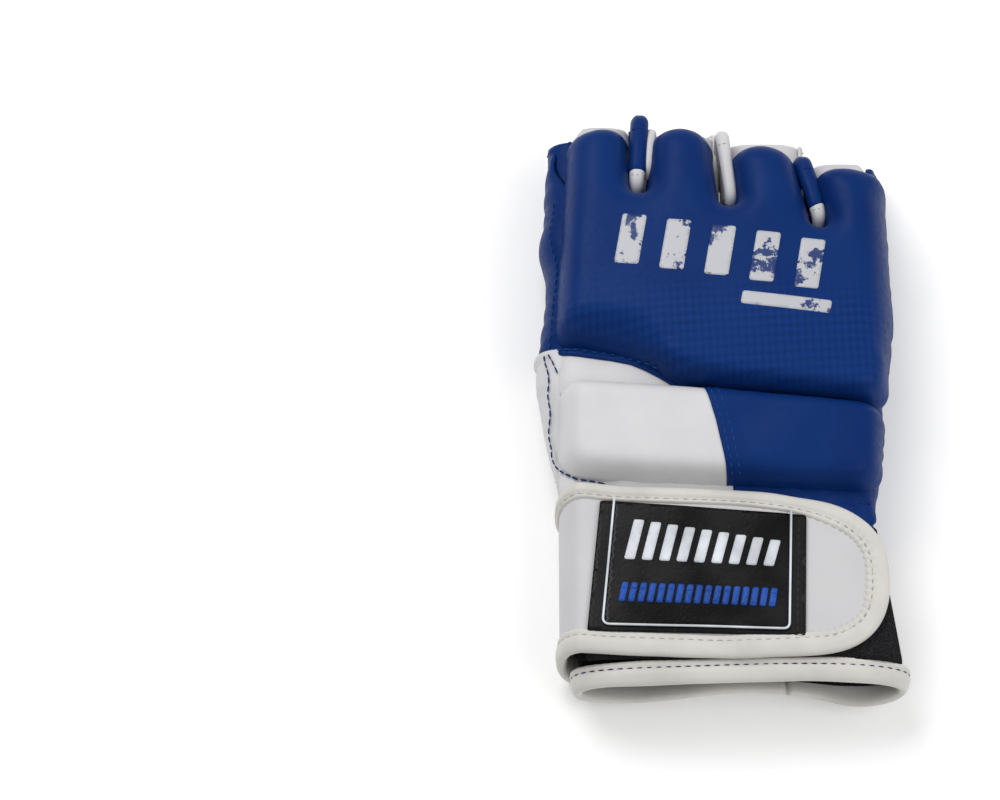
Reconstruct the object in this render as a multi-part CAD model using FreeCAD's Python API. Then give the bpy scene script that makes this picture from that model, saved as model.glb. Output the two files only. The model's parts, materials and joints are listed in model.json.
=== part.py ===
"""Open-palm grappling glove for the right hand, lying palm down with its strap closed.

X runs across the hand, from the thumb side (-X) to the little-finger side (+X).
Y runs along it, from the cuff rim (-Y) to the finger ends (+Y).
Z is the height above the surface the glove lies on: palm below, padding above.
All lengths are in millimetres. Outlines are drawn in the XY plane, and each leather,
foam or textile piece is such an outline with its own thickness.
"""

import math
import os

import FreeCAD
import Part
from FreeCAD import Vector

# Half length of the glove. The cuff rim is at -END_Y and the longest stall ends at END_Y.
END_Y = 117.5

# Heights. Each pair is the bottom and the top of one layer.
WRAP_Z = (0.0, 1.6)
PALM_BINDING_Z = (1.9, 5.5)
PALM_Z = (3.0, 4.4)
WALL_Z = (4.4, 27.4)
LINING_Z = (24.6, 26.0)
BACK_Z = (26.0, 27.4)
WEDGE_Z = (27.4, 33.0)
KNUCKLE_PAD_Z = (27.4, 47.5)
BACK_PAD_Z = (27.4, 42.5)
LOOP_Z = (27.4, 28.6)
HOOK_Z = (28.9, 29.9)
BACKING_Z = (29.9, 30.7)
STRAP_Z = (30.7, 32.2)
STRAP_BINDING_Z = (29.9, 33.4)
BADGE_Z = (32.2, 34.0)
BADGE_FRAME_Z = (34.0, 34.5)
RIM_BINDING_Z = (2.2, 29.0)
RIM_MOUTH_Z = (6.6, 23.6)

LEATHER = 1.4

# Plan of the body: the inner faces of its side walls, for the hand and for the cuff.
HAND_X = (-62.6, 61.6)
CUFF_X = (-56.6, 60.6)
CUFF_TOP_Y = -44.0
PANEL_END_Y = -112.0

# The line across the base of the fingers about which the finger end bends.
FLEX_Y = 74.0
FLEX_Z = 15.0
FLEX_GAP = 0.2
FLEX_RELIEF = math.tan(math.radians(17.0))

# Fingers: thumb side x, little side x, end of the foam hump.
HUMPS = {
    "index": (-63.0, -34.0, 103.0),
    "middle": (-26.0, -3.5, 104.0),
    "ring": (5.0, 29.0, 97.5),
    "little": (36.5, 64.0, 88.5),
}
# Stalls: thumb side x, little side x, end of the leather loop.
STALLS = {
    "index": (-64.0, -30.2, 106.0),
    "middle": (-29.8, 1.8, END_Y),
    "ring": (2.2, 34.3, 110.0),
    "little": (34.7, 64.0, 99.0),
}
NOTCH_END_Y = (75.0, 69.0, 60.0)
HUMP_RADIUS = 9.0
NOTCH_RADIUS = 3.0
COVER = 1.3

# Palm openings.
BINDING = 7.0
SEAM_X = 5.0
THUMB_HOLE_CENTRE = (-26.0, 9.5)
THUMB_HOLE_AXES = (27.5, 21.0)
THUMB_HOLE_TURN = -38.0
HEEL_X = (14.0, 52.0)
HEEL_TOP_Y = 18.5
SLIT_X = (14.0, 50.0)

# Wrist wrap and strap.
WRAP_X = (-61.6, 49.0)
WRAP_WALL = 1.6
WRAP_END_Y = -111.0
STRAP_Y = (-109.0, -40.8)
STRAP_SLOPE = -3.6  # how far the strap's upper edge drops between the fold and its end
STRAP_END_X = 62.5
STRAP_RADIUS = 30.0
STRAP_BINDING = 6.5
FOLD_X = -56.0
FOLD_GAP = 0.2

BADGE_X = (-47.0, 30.0)
BADGE_Y = (-98.0, -48.2)
BADGE_SLOPE = -2.4  # how far the badge's upper edge drops across its width
FRAME_INSET = (5.0, 2.5)
FRAME_WIDTH = 1.2


def rounded(points):
    """A face in the XY plane with corners (x, y, radius), each rounded by an arc."""
    count = len(points)
    tangents = []
    for i, (x, y, radius) in enumerate(points):
        here = Vector(x, y, 0)
        before = Vector(*points[i - 1][:2], 0) - here
        after = Vector(*points[(i + 1) % count][:2], 0) - here
        if radius <= 0:
            tangents.append((here, None, here))
            continue
        half = before.getAngle(after) / 2
        reach = radius / math.tan(half)
        before.normalize()
        after.normalize()
        middle = (before + after).normalize()
        on_arc = here + middle * (radius / math.sin(half) - radius)
        tangents.append((here + before * reach, on_arc, here + after * reach))
    edges = []
    for i, (start, on_arc, end) in enumerate(tangents):
        if on_arc is not None:
            edges.append(Part.Arc(start, on_arc, end).toShape())
        follow = tangents[(i + 1) % count][0]
        if (follow - end).Length > 1e-6:
            edges.append(Part.LineSegment(end, follow).toShape())
    return Part.Face(Part.Wire(edges))


def rectangle(x, y, radius=0.0):
    return rounded([(x[0], y[0], radius), (x[1], y[0], radius), (x[1], y[1], radius), (x[0], y[1], radius)])


def raised(face, heights):
    """The outline's inside, given thickness between two heights."""
    face = face.copy()
    face.translate(Vector(0, 0, heights[0]))
    return face.extrude(Vector(0, 0, heights[1] - heights[0]))


def box(x, y, z):
    return Part.makeBox(x[1] - x[0], y[1] - y[0], z[1] - z[0], Vector(x[0], y[0], z[0]))


def grown(face, amount):
    """The outline moved outward by amount, or inward when it is negative."""
    return face.makeOffset2D(amount, 0)


def across_x(points, x):
    """A prism along X whose section is drawn in YZ."""
    wire = Part.makePolygon([Vector(x[0], y, z) for y, z in points + points[:1]])
    return Part.Face(wire).extrude(Vector(x[1] - x[0], 0, 0))


def across_y(points, y):
    """A prism along Y whose section is drawn in XZ."""
    wire = Part.makePolygon([Vector(px, y[0], pz) for px, pz in points + points[:1]])
    return Part.Face(wire).extrude(Vector(0, y[1] - y[0], 0))


# ---------------------------------------------------------------- the two ends

ALL_X = (-100.0, 100.0)
RELIEF = FLEX_Z * FLEX_RELIEF


def hand_end():
    """The space that the hand's pieces may fill, relieved below the flex axis."""
    y = FLEX_Y - FLEX_GAP
    return across_x([(-150, -5), (y - RELIEF, -5), (y - RELIEF, 0), (y, FLEX_Z), (y, 60), (-150, 60)], ALL_X)


def finger_end():
    """The space that the finger end's pieces may fill."""
    y = FLEX_Y + FLEX_GAP
    return across_x([(150, -5), (y + RELIEF, -5), (y + RELIEF, 0), (y, FLEX_Z), (y, 60), (150, 60)], ALL_X)


# ---------------------------------------------------------------- outlines


def body_plan(grow=0.0):
    """The plan of the glove: the cuff, and the wider hand above it."""
    end = PANEL_END_Y
    return rounded(
        [
            (CUFF_X[0] - grow, end, 0),
            (CUFF_X[1] + grow, end, 0),
            (CUFF_X[1] + grow, CUFF_TOP_Y - 6, 20),
            (HAND_X[1] + grow, CUFF_TOP_Y + 6, 20),
            (HAND_X[1] + grow, FLEX_Y, 0),
            (HAND_X[0] - grow, FLEX_Y, 0),
            (HAND_X[0] - grow, CUFF_TOP_Y + 6, 20),
            (CUFF_X[0] - grow, CUFF_TOP_Y - 6, 20),
        ]
    )


def knuckle_plan():
    """The whole knuckle pad, with its four humps."""
    names = list(HUMPS)
    lower_edge = [(-66.0, 17.5, 4.0), (-44.0, 15.5, 30.0), (-20.0, -0.5, 20.0), (60.0, -10.0, 5.0)]
    points = lower_edge + [(65.0, 45.0, 60.0)]
    for name, notch in zip(reversed(names), reversed((None,) + NOTCH_END_Y)):
        left, right, end = HUMPS[name]
        points.append((right, end, HUMP_RADIUS))
        points.append((left, end, HUMP_RADIUS))
        if notch is not None:
            before = HUMPS[names[names.index(name) - 1]][1]
            points.append((left, notch, NOTCH_RADIUS))
            points.append((before, notch, NOTCH_RADIUS))
    return rounded(points)


def back_pad_plan():
    """The pad over the back of the hand."""
    foot = [(-61.5, -40.0, 8), (58.0, -43.7, 8)]
    return rounded(foot + [(61.0, -11.5, 5), (-18.0, -2.0, 10), (-62.0, -2.0, 6)])


def back_pad_thumb_part():
    """The part of the back pad's plan that lies on the thumb side of the cover's seam."""
    return rounded([(-80, -60, 0), (5.0, -60, 0), (1.5, -26.0, 60), (-8.0, 10.0, 0), (-80, 10, 0)])


def wedge_plan():
    """The panel between the two pads on the thumb side."""
    return rounded([(-63.5, -1.6, 2), (-22.0, -1.6, 0), (-45.0, 13.5, 20), (-64.5, 15.6, 2)])


def crescent_plan(inset=0.0):
    """The opening across the palm below the fingers."""
    return rounded(
        [
            (-57.0 + inset, 52.5, 2.2),
            (-30.0, 64.5 - inset, 50),
            (28.0, 64.5 - inset, 60),
            (57.0 - inset, 52.0, 2.2),
            (32.0, 49.0 + inset, 60),
            (1.0, 36.5 + inset, 12),
            (-28.0, 50.0 + inset, 50),
        ]
    )


def above_crescent():
    """The palm on the finger side of the opening's middle line."""
    middle_line = [(-80, 52.4, 0), (-56.0, 52.4, 0), (0, 50.0, 0), (56.0, 51.9, 0), (80, 51.9, 0)]
    return rounded(middle_line + [(80, 80, 0), (-80, 80, 0)])


def thumb_hole_plan(grow=0.0):
    """The tilted oval hole for the thumb."""
    curve = Part.Ellipse(Vector(0, 0, 0), THUMB_HOLE_AXES[0] + grow, THUMB_HOLE_AXES[1] + grow)
    face = Part.Face(Part.Wire([curve.toShape()]))
    face.rotate(Vector(0, 0, 0), Vector(0, 0, 1), THUMB_HOLE_TURN)
    face.translate(Vector(*THUMB_HOLE_CENTRE, 0))
    return face


def heel_plan(grow=0.0):
    """The opening at the heel of the palm, with the slit that runs from it to the rim."""
    return rounded(
        [
            (SLIT_X[0] - grow, -130, 0),
            (SLIT_X[1] + grow, -130, 0),
            (SLIT_X[1] + grow, -22.0, 6),
            (HEEL_X[1] + 3.0 + grow, -14.0, 6),
            (HEEL_X[1] + 3.0 + grow, HEEL_TOP_Y + grow, 3.0),
            (SLIT_X[0] - grow, HEEL_TOP_Y - 1.5 + grow, 9.0 + grow),
        ]
    )


def wrap_plan(inset=0.0):
    """The wrap where it crosses the palm side of the wrist."""
    root = WRAP_X[1]
    return rounded(
        [
            (WRAP_X[0], WRAP_END_Y + inset, 0),
            (root, WRAP_END_Y + 4.0 + inset, 0),
            (root, -4.0 - inset, 0),
            (5.0, -20.0 - inset, 0),
            (WRAP_X[0], -48.0 - inset, 0),
        ]
    )


def strap_plan(inset=0.0):
    """The strap's free part, on the back of the wrist, with its round end."""
    left, end = FOLD_X + FOLD_GAP, STRAP_END_X - inset
    low, high, radius = STRAP_Y[0] + inset, STRAP_Y[1] - inset, STRAP_RADIUS - inset
    return rounded([(left, low, 0), (end, low, radius), (end, high + STRAP_SLOPE, radius), (left, high, 0)])


# ---------------------------------------------------------------- body of the glove


def wall(x_from, x_to, y):
    """A side wall: the strip between the plan and the plan grown by the leather."""
    ring = raised(body_plan(LEATHER), WALL_Z).cut(raised(body_plan(), WALL_Z))
    return ring.common(box((x_from, x_to), y, WALL_Z)).common(hand_end())


def palm_leather():
    """All of the palm side's leather before the openings' bindings are taken out."""
    plate = raised(body_plan(LEATHER), PALM_Z).common(hand_end())
    for opening in (crescent_plan(-BINDING), thumb_hole_plan(BINDING), heel_plan(BINDING)):
        plate = plate.cut(raised(opening, PALM_Z))
    return plate


def palm_pieces():
    """The palm's leather as three sewn pieces."""
    plate = palm_leather()
    band = plate.common(raised(above_crescent(), PALM_Z))
    below = plate.cut(raised(above_crescent(), PALM_Z))
    thumb = below.common(box((-100, SEAM_X), (-150, 100), PALM_Z))
    little = below.common(box((SEAM_X, 100), (-150, 100), PALM_Z))
    return band, thumb, little


def ring(outer, inner):
    return raised(outer, PALM_BINDING_Z).cut(raised(inner, PALM_BINDING_Z))


def palm_bindings():
    """The folded strips that bind the edges of the palm's openings."""
    inside = raised(body_plan(), PALM_BINDING_Z).common(hand_end())
    crescent_edge = raised(crescent_plan(-BINDING), PALM_BINDING_Z)
    thumb_edge = raised(thumb_hole_plan(BINDING), PALM_BINDING_Z)
    finger_side = raised(above_crescent(), PALM_BINDING_Z)
    crescent = ring(crescent_plan(-BINDING), crescent_plan()).common(inside)
    thumb = ring(thumb_hole_plan(BINDING), thumb_hole_plan()).cut(crescent_edge)
    heel = ring(heel_plan(BINDING), heel_plan()).common(inside).cut(crescent_edge).cut(thumb_edge)
    return {
        "crescent_top_binding": crescent.common(finger_side),
        "crescent_lower_binding": crescent.cut(finger_side),
        "thumb_hole_binding": thumb,
        "heel_opening_binding": heel.common(box(ALL_X, (PANEL_END_Y, 60), PALM_BINDING_Z)),
    }


def rim_binding():
    """The binding round the cuff's mouth, broken where the slit meets the rim."""
    y = (-END_Y, PANEL_END_Y)
    outer = box((CUFF_X[0] - 4.2, CUFF_X[1] + 5.0), y, RIM_BINDING_Z)
    mouth = box((CUFF_X[0] + 1.0, CUFF_X[1] - 0.5), y, RIM_MOUTH_Z)
    edges = [e for e in outer.Edges if abs(e.BoundBox.YLength - (y[1] - y[0])) < 0.01]
    slit = box((SLIT_X[0], SLIT_X[1]), y, (0, RIM_MOUTH_Z[1] - 4))
    return outer.makeFillet(7.0, edges).cut(mouth).cut(slit)


# ---------------------------------------------------------------- padding


def padded(plan, heights):
    """A pad's leather cover, open below, and the foam inside it."""
    inner = (heights[0], heights[1] - COVER)
    foam = raised(grown(plan, -COVER), inner)
    return raised(plan, heights).cut(foam), foam


def knuckle_pad():
    """The knuckle pad, divided at the flex line into the field and the four humps."""
    cover, foam = padded(knuckle_plan(), KNUCKLE_PAD_Z)
    pieces = {
        "knuckle_cover": cover.common(hand_end()),
        "knuckle_foam": foam.common(hand_end()),
    }
    for name, (left, right, _) in HUMPS.items():
        lane = box((left - 2.0, right + 2.0), (FLEX_Y, 150), KNUCKLE_PAD_Z).common(finger_end())
        pieces[name + "_finger_cover"] = cover.common(lane)
        pieces[name + "_finger_foam"] = foam.common(lane)
    return pieces


def back_pad():
    """The pad over the back of the hand, under two covers of different colours."""
    cover, foam = padded(back_pad_plan(), BACK_PAD_Z)
    thumb_part = raised(back_pad_thumb_part(), BACK_PAD_Z)
    return {
        "back_pad_foam": foam,
        "back_pad_thumb_cover": cover.common(thumb_part),
        "back_pad_little_cover": cover.cut(thumb_part),
    }


# ---------------------------------------------------------------- finger end


def stall(name):
    """One finger's leather loop, open at both ends."""
    left, right, end = STALLS[name]
    z = (WRAP_Z[1], KNUCKLE_PAD_Z[0])
    outer = box((left, right), (FLEX_Y, end), z)
    edges = [e for e in outer.Edges if abs(e.BoundBox.YLength - (end - FLEX_Y)) < 0.01]
    outer = outer.makeFillet(8.0, edges)
    hole = box((left + LEATHER, right - LEATHER), (FLEX_Y - 5, end + 5), (z[0] + LEATHER, z[1] - LEATHER))
    edges = [e for e in hole.Edges if abs(e.BoundBox.YLength - (end - FLEX_Y + 10)) < 0.01]
    return outer.cut(hole.makeFillet(8.0 - LEATHER, edges)).common(finger_end())


def divider(i):
    """A rolled leather strip standing in one notch between two fingers."""
    names = list(HUMPS)
    x = (HUMPS[names[i]][1] + HUMPS[names[i + 1]][0]) / 2
    start = Vector(x, FLEX_Y + FLEX_GAP + 3.2, KNUCKLE_PAD_Z[0] + 3.4)
    finish = Vector(x, HUMPS[names[i + 1]][2] + 2.5 - 2.0 * i, KNUCKLE_PAD_Z[0] + 12.0)
    run = finish - start
    return Part.makeCylinder(3.0, run.Length, start, run).cut(Part.makeCylinder(1.5, run.Length, start, run))


def stall_welt():
    """The rolled welt along the foot of the middle and ring stalls, on the palm."""
    outline = rounded([(-31.0, 79.5, 3), (36.0, 79.5, 3), (36.0, 86.0, 3), (-31.0, 86.0, 3)])
    return raised(outline, WRAP_Z)


# ---------------------------------------------------------------- wrap and strap


def wrap_side():
    """The wrap where it goes round the thumb side and over to the fold."""
    left, top = WRAP_X[0], STRAP_Z[1]
    right = FOLD_X - FOLD_GAP
    section = [
        (left, WRAP_Z[0]),
        (left - WRAP_WALL, WRAP_Z[1]),
        (left - WRAP_WALL, top - 2.0),
        (left + 0.6, top),
        (right, top),
        (right, BACKING_Z[0]),
        (left + 0.6, BACKING_Z[0]),
        (left, BACKING_Z[0] - 1.0),
    ]
    return across_y(section, (STRAP_Y[0], STRAP_Y[1] - 4.0))


def wrap_binding(bottom):
    """One of the two bound edges of the wrap on the palm side."""
    edge = raised(wrap_plan(), WRAP_Z).cut(raised(wrap_plan(BINDING), WRAP_Z))
    middle = -80.0
    span = (-150.0, middle) if bottom else (middle, 50.0)
    return edge.common(box(ALL_X, span, WRAP_Z))


def strap_binding():
    """The folded strip round the strap's free part."""
    return raised(strap_plan(), STRAP_BINDING_Z).cut(raised(strap_plan(STRAP_BINDING), STRAP_BINDING_Z))


def badge_plan(inset_x=0.0, inset_y=0.0):
    left, right = BADGE_X[0] + inset_x, BADGE_X[1] - inset_x
    low, high = BADGE_Y[0] + inset_y, BADGE_Y[1] - inset_y
    return rounded([(left, low, 1), (right, low, 1), (right, high + BADGE_SLOPE, 1), (left, high, 1)])


def badge():
    """The moulded rubber badge and the thin line moulded round its face."""
    frame = badge_plan(*FRAME_INSET)
    hollow = badge_plan(FRAME_INSET[0] + FRAME_WIDTH, FRAME_INSET[1] + FRAME_WIDTH)
    line = raised(frame, BADGE_FRAME_Z).cut(raised(hollow, BADGE_FRAME_Z))
    return raised(badge_plan(), BADGE_Z), line


def build():
    """Every sub-part, by its node name."""
    band, thumb_palm, little_palm = palm_pieces()
    rubber, line = badge()
    nodes = {
        "hand_back_panel": raised(body_plan(), BACK_Z).common(hand_end()),
        "hand_lining": raised(body_plan(), LINING_Z).common(hand_end()),
        "thumb_gusset_upper": wall(-100, 0, (5.0, 100)),
        "thumb_gusset_lower": wall(-100, 0, (CUFF_TOP_Y, 5.0)),
        "little_gusset": wall(0, 100, (CUFF_TOP_Y, 100)),
        "cuff_thumb_wall": wall(-100, 0, (-150, CUFF_TOP_Y)),
        "cuff_little_wall": wall(0, 100, (-150, CUFF_TOP_Y)),
        "palm_finger_band": band,
        "palm_thumb_panel": thumb_palm,
        "palm_little_panel": little_palm,
        "cuff_rim_binding": rim_binding(),
        "wedge_panel": raised(wedge_plan(), WEDGE_Z),
        "loop_panel": raised(rectangle((-50.0, 60.5), (-108.0, -50.0), 1.0), LOOP_Z),
        "palm_wrap": raised(wrap_plan(BINDING), WRAP_Z),
        "palm_wrap_top_binding": wrap_binding(False),
        "palm_wrap_bottom_binding": wrap_binding(True),
        "thumb_side_wrap": wrap_side(),
        "stall_welt": stall_welt(),
        "strap_panel": raised(strap_plan(STRAP_BINDING), STRAP_Z),
        "strap_backing": raised(strap_plan(STRAP_BINDING), BACKING_Z),
        "strap_binding": strap_binding(),
        "hook_panel": raised(rectangle((2.0, 54.0), (-98.0, -50.0), 14.0), HOOK_Z),
        "rubber_badge": rubber,
        "badge_frame_line": line,
    }
    nodes.update(palm_bindings())
    nodes.update(knuckle_pad())
    nodes.update(back_pad())
    names = list(HUMPS)
    for name in names:
        nodes[name + "_stall"] = stall(name)
    for i, (one, other) in enumerate(zip(names, names[1:])):
        nodes[one + "_" + other + "_divider"] = divider(i)
    return nodes


def main():
    os.makedirs("parts", exist_ok=True)
    whole = FreeCAD.BoundBox()
    for name, shape in build().items():
        solids = Part.Compound(shape.Solids)
        whole.add(solids.BoundBox)
        print(f"{name:26} {len(shape.Solids)} {shape.isValid()} {shape.Volume:9.0f}")
        solids.exportStep("parts/" + name + ".step")
    print("box", whole)


main()
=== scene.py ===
"""The looks of the open-palm grappling glove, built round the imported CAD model.

Axes and origin are those of the CAD model: -X thumb side, +Y fingers, +Z back of the hand.
The shapes are worked out in millimetres and become metres when a mesh is made.
"""
import json
import math

import bmesh
import bpy
import numpy as np
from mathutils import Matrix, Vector
from mathutils.bvhtree import BVHTree
from mathutils.geometry import delaunay_2d_cdt


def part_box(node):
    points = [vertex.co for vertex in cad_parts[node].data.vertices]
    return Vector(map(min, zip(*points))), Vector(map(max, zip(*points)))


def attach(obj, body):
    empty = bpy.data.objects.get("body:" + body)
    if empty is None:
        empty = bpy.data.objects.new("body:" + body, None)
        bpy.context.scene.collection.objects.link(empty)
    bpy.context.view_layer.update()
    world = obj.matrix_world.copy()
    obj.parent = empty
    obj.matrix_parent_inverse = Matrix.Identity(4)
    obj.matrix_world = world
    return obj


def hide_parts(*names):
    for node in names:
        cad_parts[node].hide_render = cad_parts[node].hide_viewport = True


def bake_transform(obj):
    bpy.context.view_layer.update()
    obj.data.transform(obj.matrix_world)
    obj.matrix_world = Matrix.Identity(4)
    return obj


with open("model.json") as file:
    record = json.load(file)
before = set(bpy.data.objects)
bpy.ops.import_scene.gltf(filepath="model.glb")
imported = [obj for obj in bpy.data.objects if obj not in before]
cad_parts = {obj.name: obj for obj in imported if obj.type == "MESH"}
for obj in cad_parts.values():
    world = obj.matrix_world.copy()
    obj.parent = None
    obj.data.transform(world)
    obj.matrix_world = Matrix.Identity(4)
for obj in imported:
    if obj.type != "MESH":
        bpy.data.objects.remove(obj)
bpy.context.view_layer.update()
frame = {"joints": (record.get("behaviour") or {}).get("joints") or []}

MM = 0.001
UP = np.array([0.0, 0.0, 1.0])


def span(node):
    """A CAD node's lowest and highest corner, in millimetres."""
    low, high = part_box(node)
    return np.array(low) / MM, np.array(high) / MM


# ------------------------------------------------------------------ outlines and fields


def unit(vectors, least=1e-9):
    """The rows as directions of length 1."""
    return vectors / np.maximum(np.linalg.norm(vectors, axis=1), least)[:, None]


def run_length(path):
    """Distance along a path at each of its points."""
    return np.concatenate([[0], np.cumsum(np.linalg.norm(np.diff(path, axis=0), axis=1))])


def points_at(at, along, points):
    """Points interpolated at the given distances along a path."""
    return np.stack([np.interp(at, along, column) for column in points.T], axis=1)


def resample(points, pitch, closed=True):
    """The polyline with points at an even pitch."""
    p = np.asarray(points, float)
    if closed:
        p = np.vstack([p, p[:1]])
    along = run_length(p)
    count = max(4, int(round(along[-1] / pitch)))
    out = points_at(np.linspace(0, along[-1], count + 1), along, p)
    return out[:-1] if closed else out


def settled(path, times):
    """The path with its inner points drawn evenly between their neighbours."""
    for _ in range(times):
        path[1:-1] = 0.5 * path[1:-1] + 0.25 * (path[:-2] + path[2:])
    return path


def rounded(corners, pitch=1.0, closed=True):
    """An outline through corners (x, y, radius), each corner replaced by an arc."""
    out = []
    count = len(corners)
    for i, (x, y, radius) in enumerate(corners):
        here = np.array([x, y], float)
        before = np.array(corners[i - 1][:2], float) - here
        after = np.array(corners[(i + 1) % count][:2], float) - here
        before_len, after_len = np.linalg.norm(before), np.linalg.norm(after)
        before, after = before / before_len, after / after_len
        half = math.acos(np.clip(before @ after, -1, 1)) / 2
        is_end = not closed and i in (0, count - 1)
        if is_end or radius <= 0 or abs(half - math.pi / 2) < 0.01:
            out.append(here)
            continue
        reach = min(radius / math.tan(half), 0.49 * before_len, 0.49 * after_len)
        radius = reach * math.tan(half)
        middle = (before + after) / np.linalg.norm(before + after)
        centre = here + middle * radius / math.sin(half)
        start, end = here + before * reach - centre, here + after * reach - centre
        turn = math.atan2(start[0] * end[1] - start[1] * end[0], start @ end)
        steps = max(3, int(abs(turn) * radius / pitch))
        for k in range(steps + 1):
            a = turn * k / steps
            c, s = math.cos(a), math.sin(a)
            out.append(centre + np.array([c * start[0] - s * start[1], s * start[0] + c * start[1]]))
    return resample(np.array(out), pitch, closed)


def edge_distance(xy, outline):
    """Signed distance from points to a closed outline, positive inside, and the outward direction."""
    a = outline
    b = np.roll(outline, -1, axis=0)
    d = b - a
    length2 = (d * d).sum(1)
    best = np.full(len(xy), 1e9)
    near = np.zeros((len(xy), 2))
    inside = np.zeros(len(xy), bool)
    for i in range(len(a)):
        t = np.clip(((xy - a[i]) @ d[i]) / length2[i], 0, 1)
        q = a[i] + t[:, None] * d[i]
        r = ((xy - q) ** 2).sum(1)
        closer = r < best
        best = np.where(closer, r, best)
        near[closer] = q[closer]
        crosses = (a[i, 1] > xy[:, 1]) != (b[i, 1] > xy[:, 1])
        if crosses.any():
            slope = (b[i, 0] - a[i, 0]) / (b[i, 1] - a[i, 1] + 1e-12)
            inside ^= crosses & (xy[:, 0] < a[i, 0] + slope * (xy[:, 1] - a[i, 1]))
    dist = np.sqrt(best)
    out = unit((near - xy) * np.where(inside, 1, -1)[:, None], 1e-6)
    return np.where(inside, dist, -dist), out


def smooth(t):
    """0 below 0, 1 above 1, and an even S between them."""
    t = np.clip(t, 0, 1)
    return t * t * (3 - 2 * t)


def squared(value, power):
    """The value's size to a power, with its sign kept."""
    return math.copysign(abs(value) ** power, value)


def wobble(x, y, scale, seed):
    """A smooth random field between about -1 and 1, with features of the given size."""
    rng = np.random.default_rng(seed)
    total = 0
    for _ in range(6):
        angle = rng.uniform(0, 2 * math.pi)
        phase = rng.uniform(0, 2 * math.pi)
        stretch = rng.uniform(0.7, 1.5)
        run = x * math.cos(angle) + y * math.sin(angle)
        total = total + np.sin(run * 2 * math.pi / (scale * stretch) + phase)
    return total / 3.5


# ------------------------------------------------------------------ materials


class Material:
    """A material on the object's own coordinates, with short ways to add nodes to it."""

    def __init__(self, name):
        self.made = bpy.data.materials.new(name)
        self.made.use_nodes = True
        self.tree = self.made.node_tree
        self.shader = self.tree.nodes["Principled BSDF"]
        self.place = self.add("TexCoord").outputs["Object"]
        self.last_bump = None

    def feed(self, socket, value):
        """Link an input to an output, or set it to a number or a colour."""
        if isinstance(value, bpy.types.NodeSocket):
            self.tree.links.new(value, socket)
        else:
            socket.default_value = (*value, 1) if isinstance(value, tuple) else value

    def add(self, kind, **values):
        node = self.tree.nodes.new("ShaderNode" + kind)
        for key, value in values.items():
            if key in node.inputs:
                node.inputs[key].default_value = value
            else:
                setattr(node, key, value)
        return node

    def texture(self, kind, out="Fac", **values):
        node = self.add("Tex" + kind, **values)
        self.feed(node.inputs["Vector"], self.place)
        return node.outputs[out]

    def ramp(self, source, low, high, low_value=0.0, high_value=1.0):
        """The source mapped smoothly from low..high to the two values."""
        node = self.add("MapRange", interpolation_type="SMOOTHSTEP")
        for socket, value in zip(node.inputs, (source, low, high, low_value, high_value)):
            self.feed(socket, value)
        return node.outputs["Result"]

    def mix(self, factor, a, b):
        node = self.add("Mix", data_type="RGBA")
        for socket, value in ((0, factor), (6, a), (7, b)):
            self.feed(node.inputs[socket], value)
        return node.outputs[2]

    def maths(self, operation, a, b):
        node = self.add("Math", operation=operation)
        self.feed(node.inputs[0], a)
        self.feed(node.inputs[1], b)
        return node.outputs["Value"]

    def bump(self, height, strength, distance):
        """One more layer of relief, over those before it."""
        node = self.add("Bump", Strength=strength, Distance=distance)
        self.feed(node.inputs["Height"], height)
        if self.last_bump:
            self.feed(node.inputs["Normal"], self.last_bump)
        self.last_bump = node.outputs["Normal"]

    def finish(self, colour, roughness, specular=0.5):
        self.feed(self.shader.inputs["Base Color"], colour)
        self.feed(self.shader.inputs["Roughness"], roughness)
        self.feed(self.shader.inputs["Specular IOR Level"], specular)
        self.feed(self.shader.inputs["Normal"], self.last_bump)
        return self.made


def leather(name, colour, deep, roughness, shine=0.16, soil=0.0, embossed=False):
    """Smooth coated synthetic leather: a fine pebbled grain, slow creases and uneven gloss."""
    m = Material(name)
    slow = m.texture("Noise", Scale=38.0, Detail=4.0)
    tone = m.mix(m.ramp(slow, 0.3, 0.75), colour, deep)
    if soil:
        marks = m.texture("Noise", Scale=16.0, Detail=6.0)
        tone = m.mix(m.ramp(marks, 0.56, 0.78, 0.0, soil), tone, (0.42, 0.41, 0.40))
    m.bump(m.texture("Voronoi", out="Distance", Scale=900.0, feature="SMOOTH_F1"), 0.12, 0.00025)
    m.bump(slow, 0.22, 0.0012)
    if embossed:
        checks = embossing(m)
        tone = m.mix(checks, tone, tuple(min(1.0, 1.14 * c) for c in colour))
        m.bump(checks, 0.3, 0.0003)
    gloss = m.ramp(m.texture("Noise", Scale=520.0, Detail=3.0), 0.3, 0.7, roughness - 0.05, roughness + 0.07)
    return m.finish(tone, gloss, shine)


def embossing(m):
    """A checked pattern seen from above, which fades out up the pad and down its sides."""
    turned = m.add("Mapping")
    turned.inputs["Rotation"].default_value = (0, 0, math.radians(42))
    turned.inputs["Scale"].default_value = (1, 0.8, 0)
    turned.inputs["Location"].default_value = (0, 0, 0.0003)
    m.feed(turned.inputs["Vector"], m.place)
    checks = m.add("TexChecker", Scale=520.0)
    m.feed(checks.inputs["Vector"], turned.outputs["Vector"])
    parts = m.add("SeparateXYZ")
    m.feed(parts.inputs["Vector"], m.place)
    low_band = m.ramp(parts.outputs["Y"], 0.042, 0.018)
    upper_face = m.ramp(parts.outputs["Z"], 0.036, 0.040)
    return m.maths("MULTIPLY", m.maths("MULTIPLY", checks.outputs["Fac"], low_band), upper_face)


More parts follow.
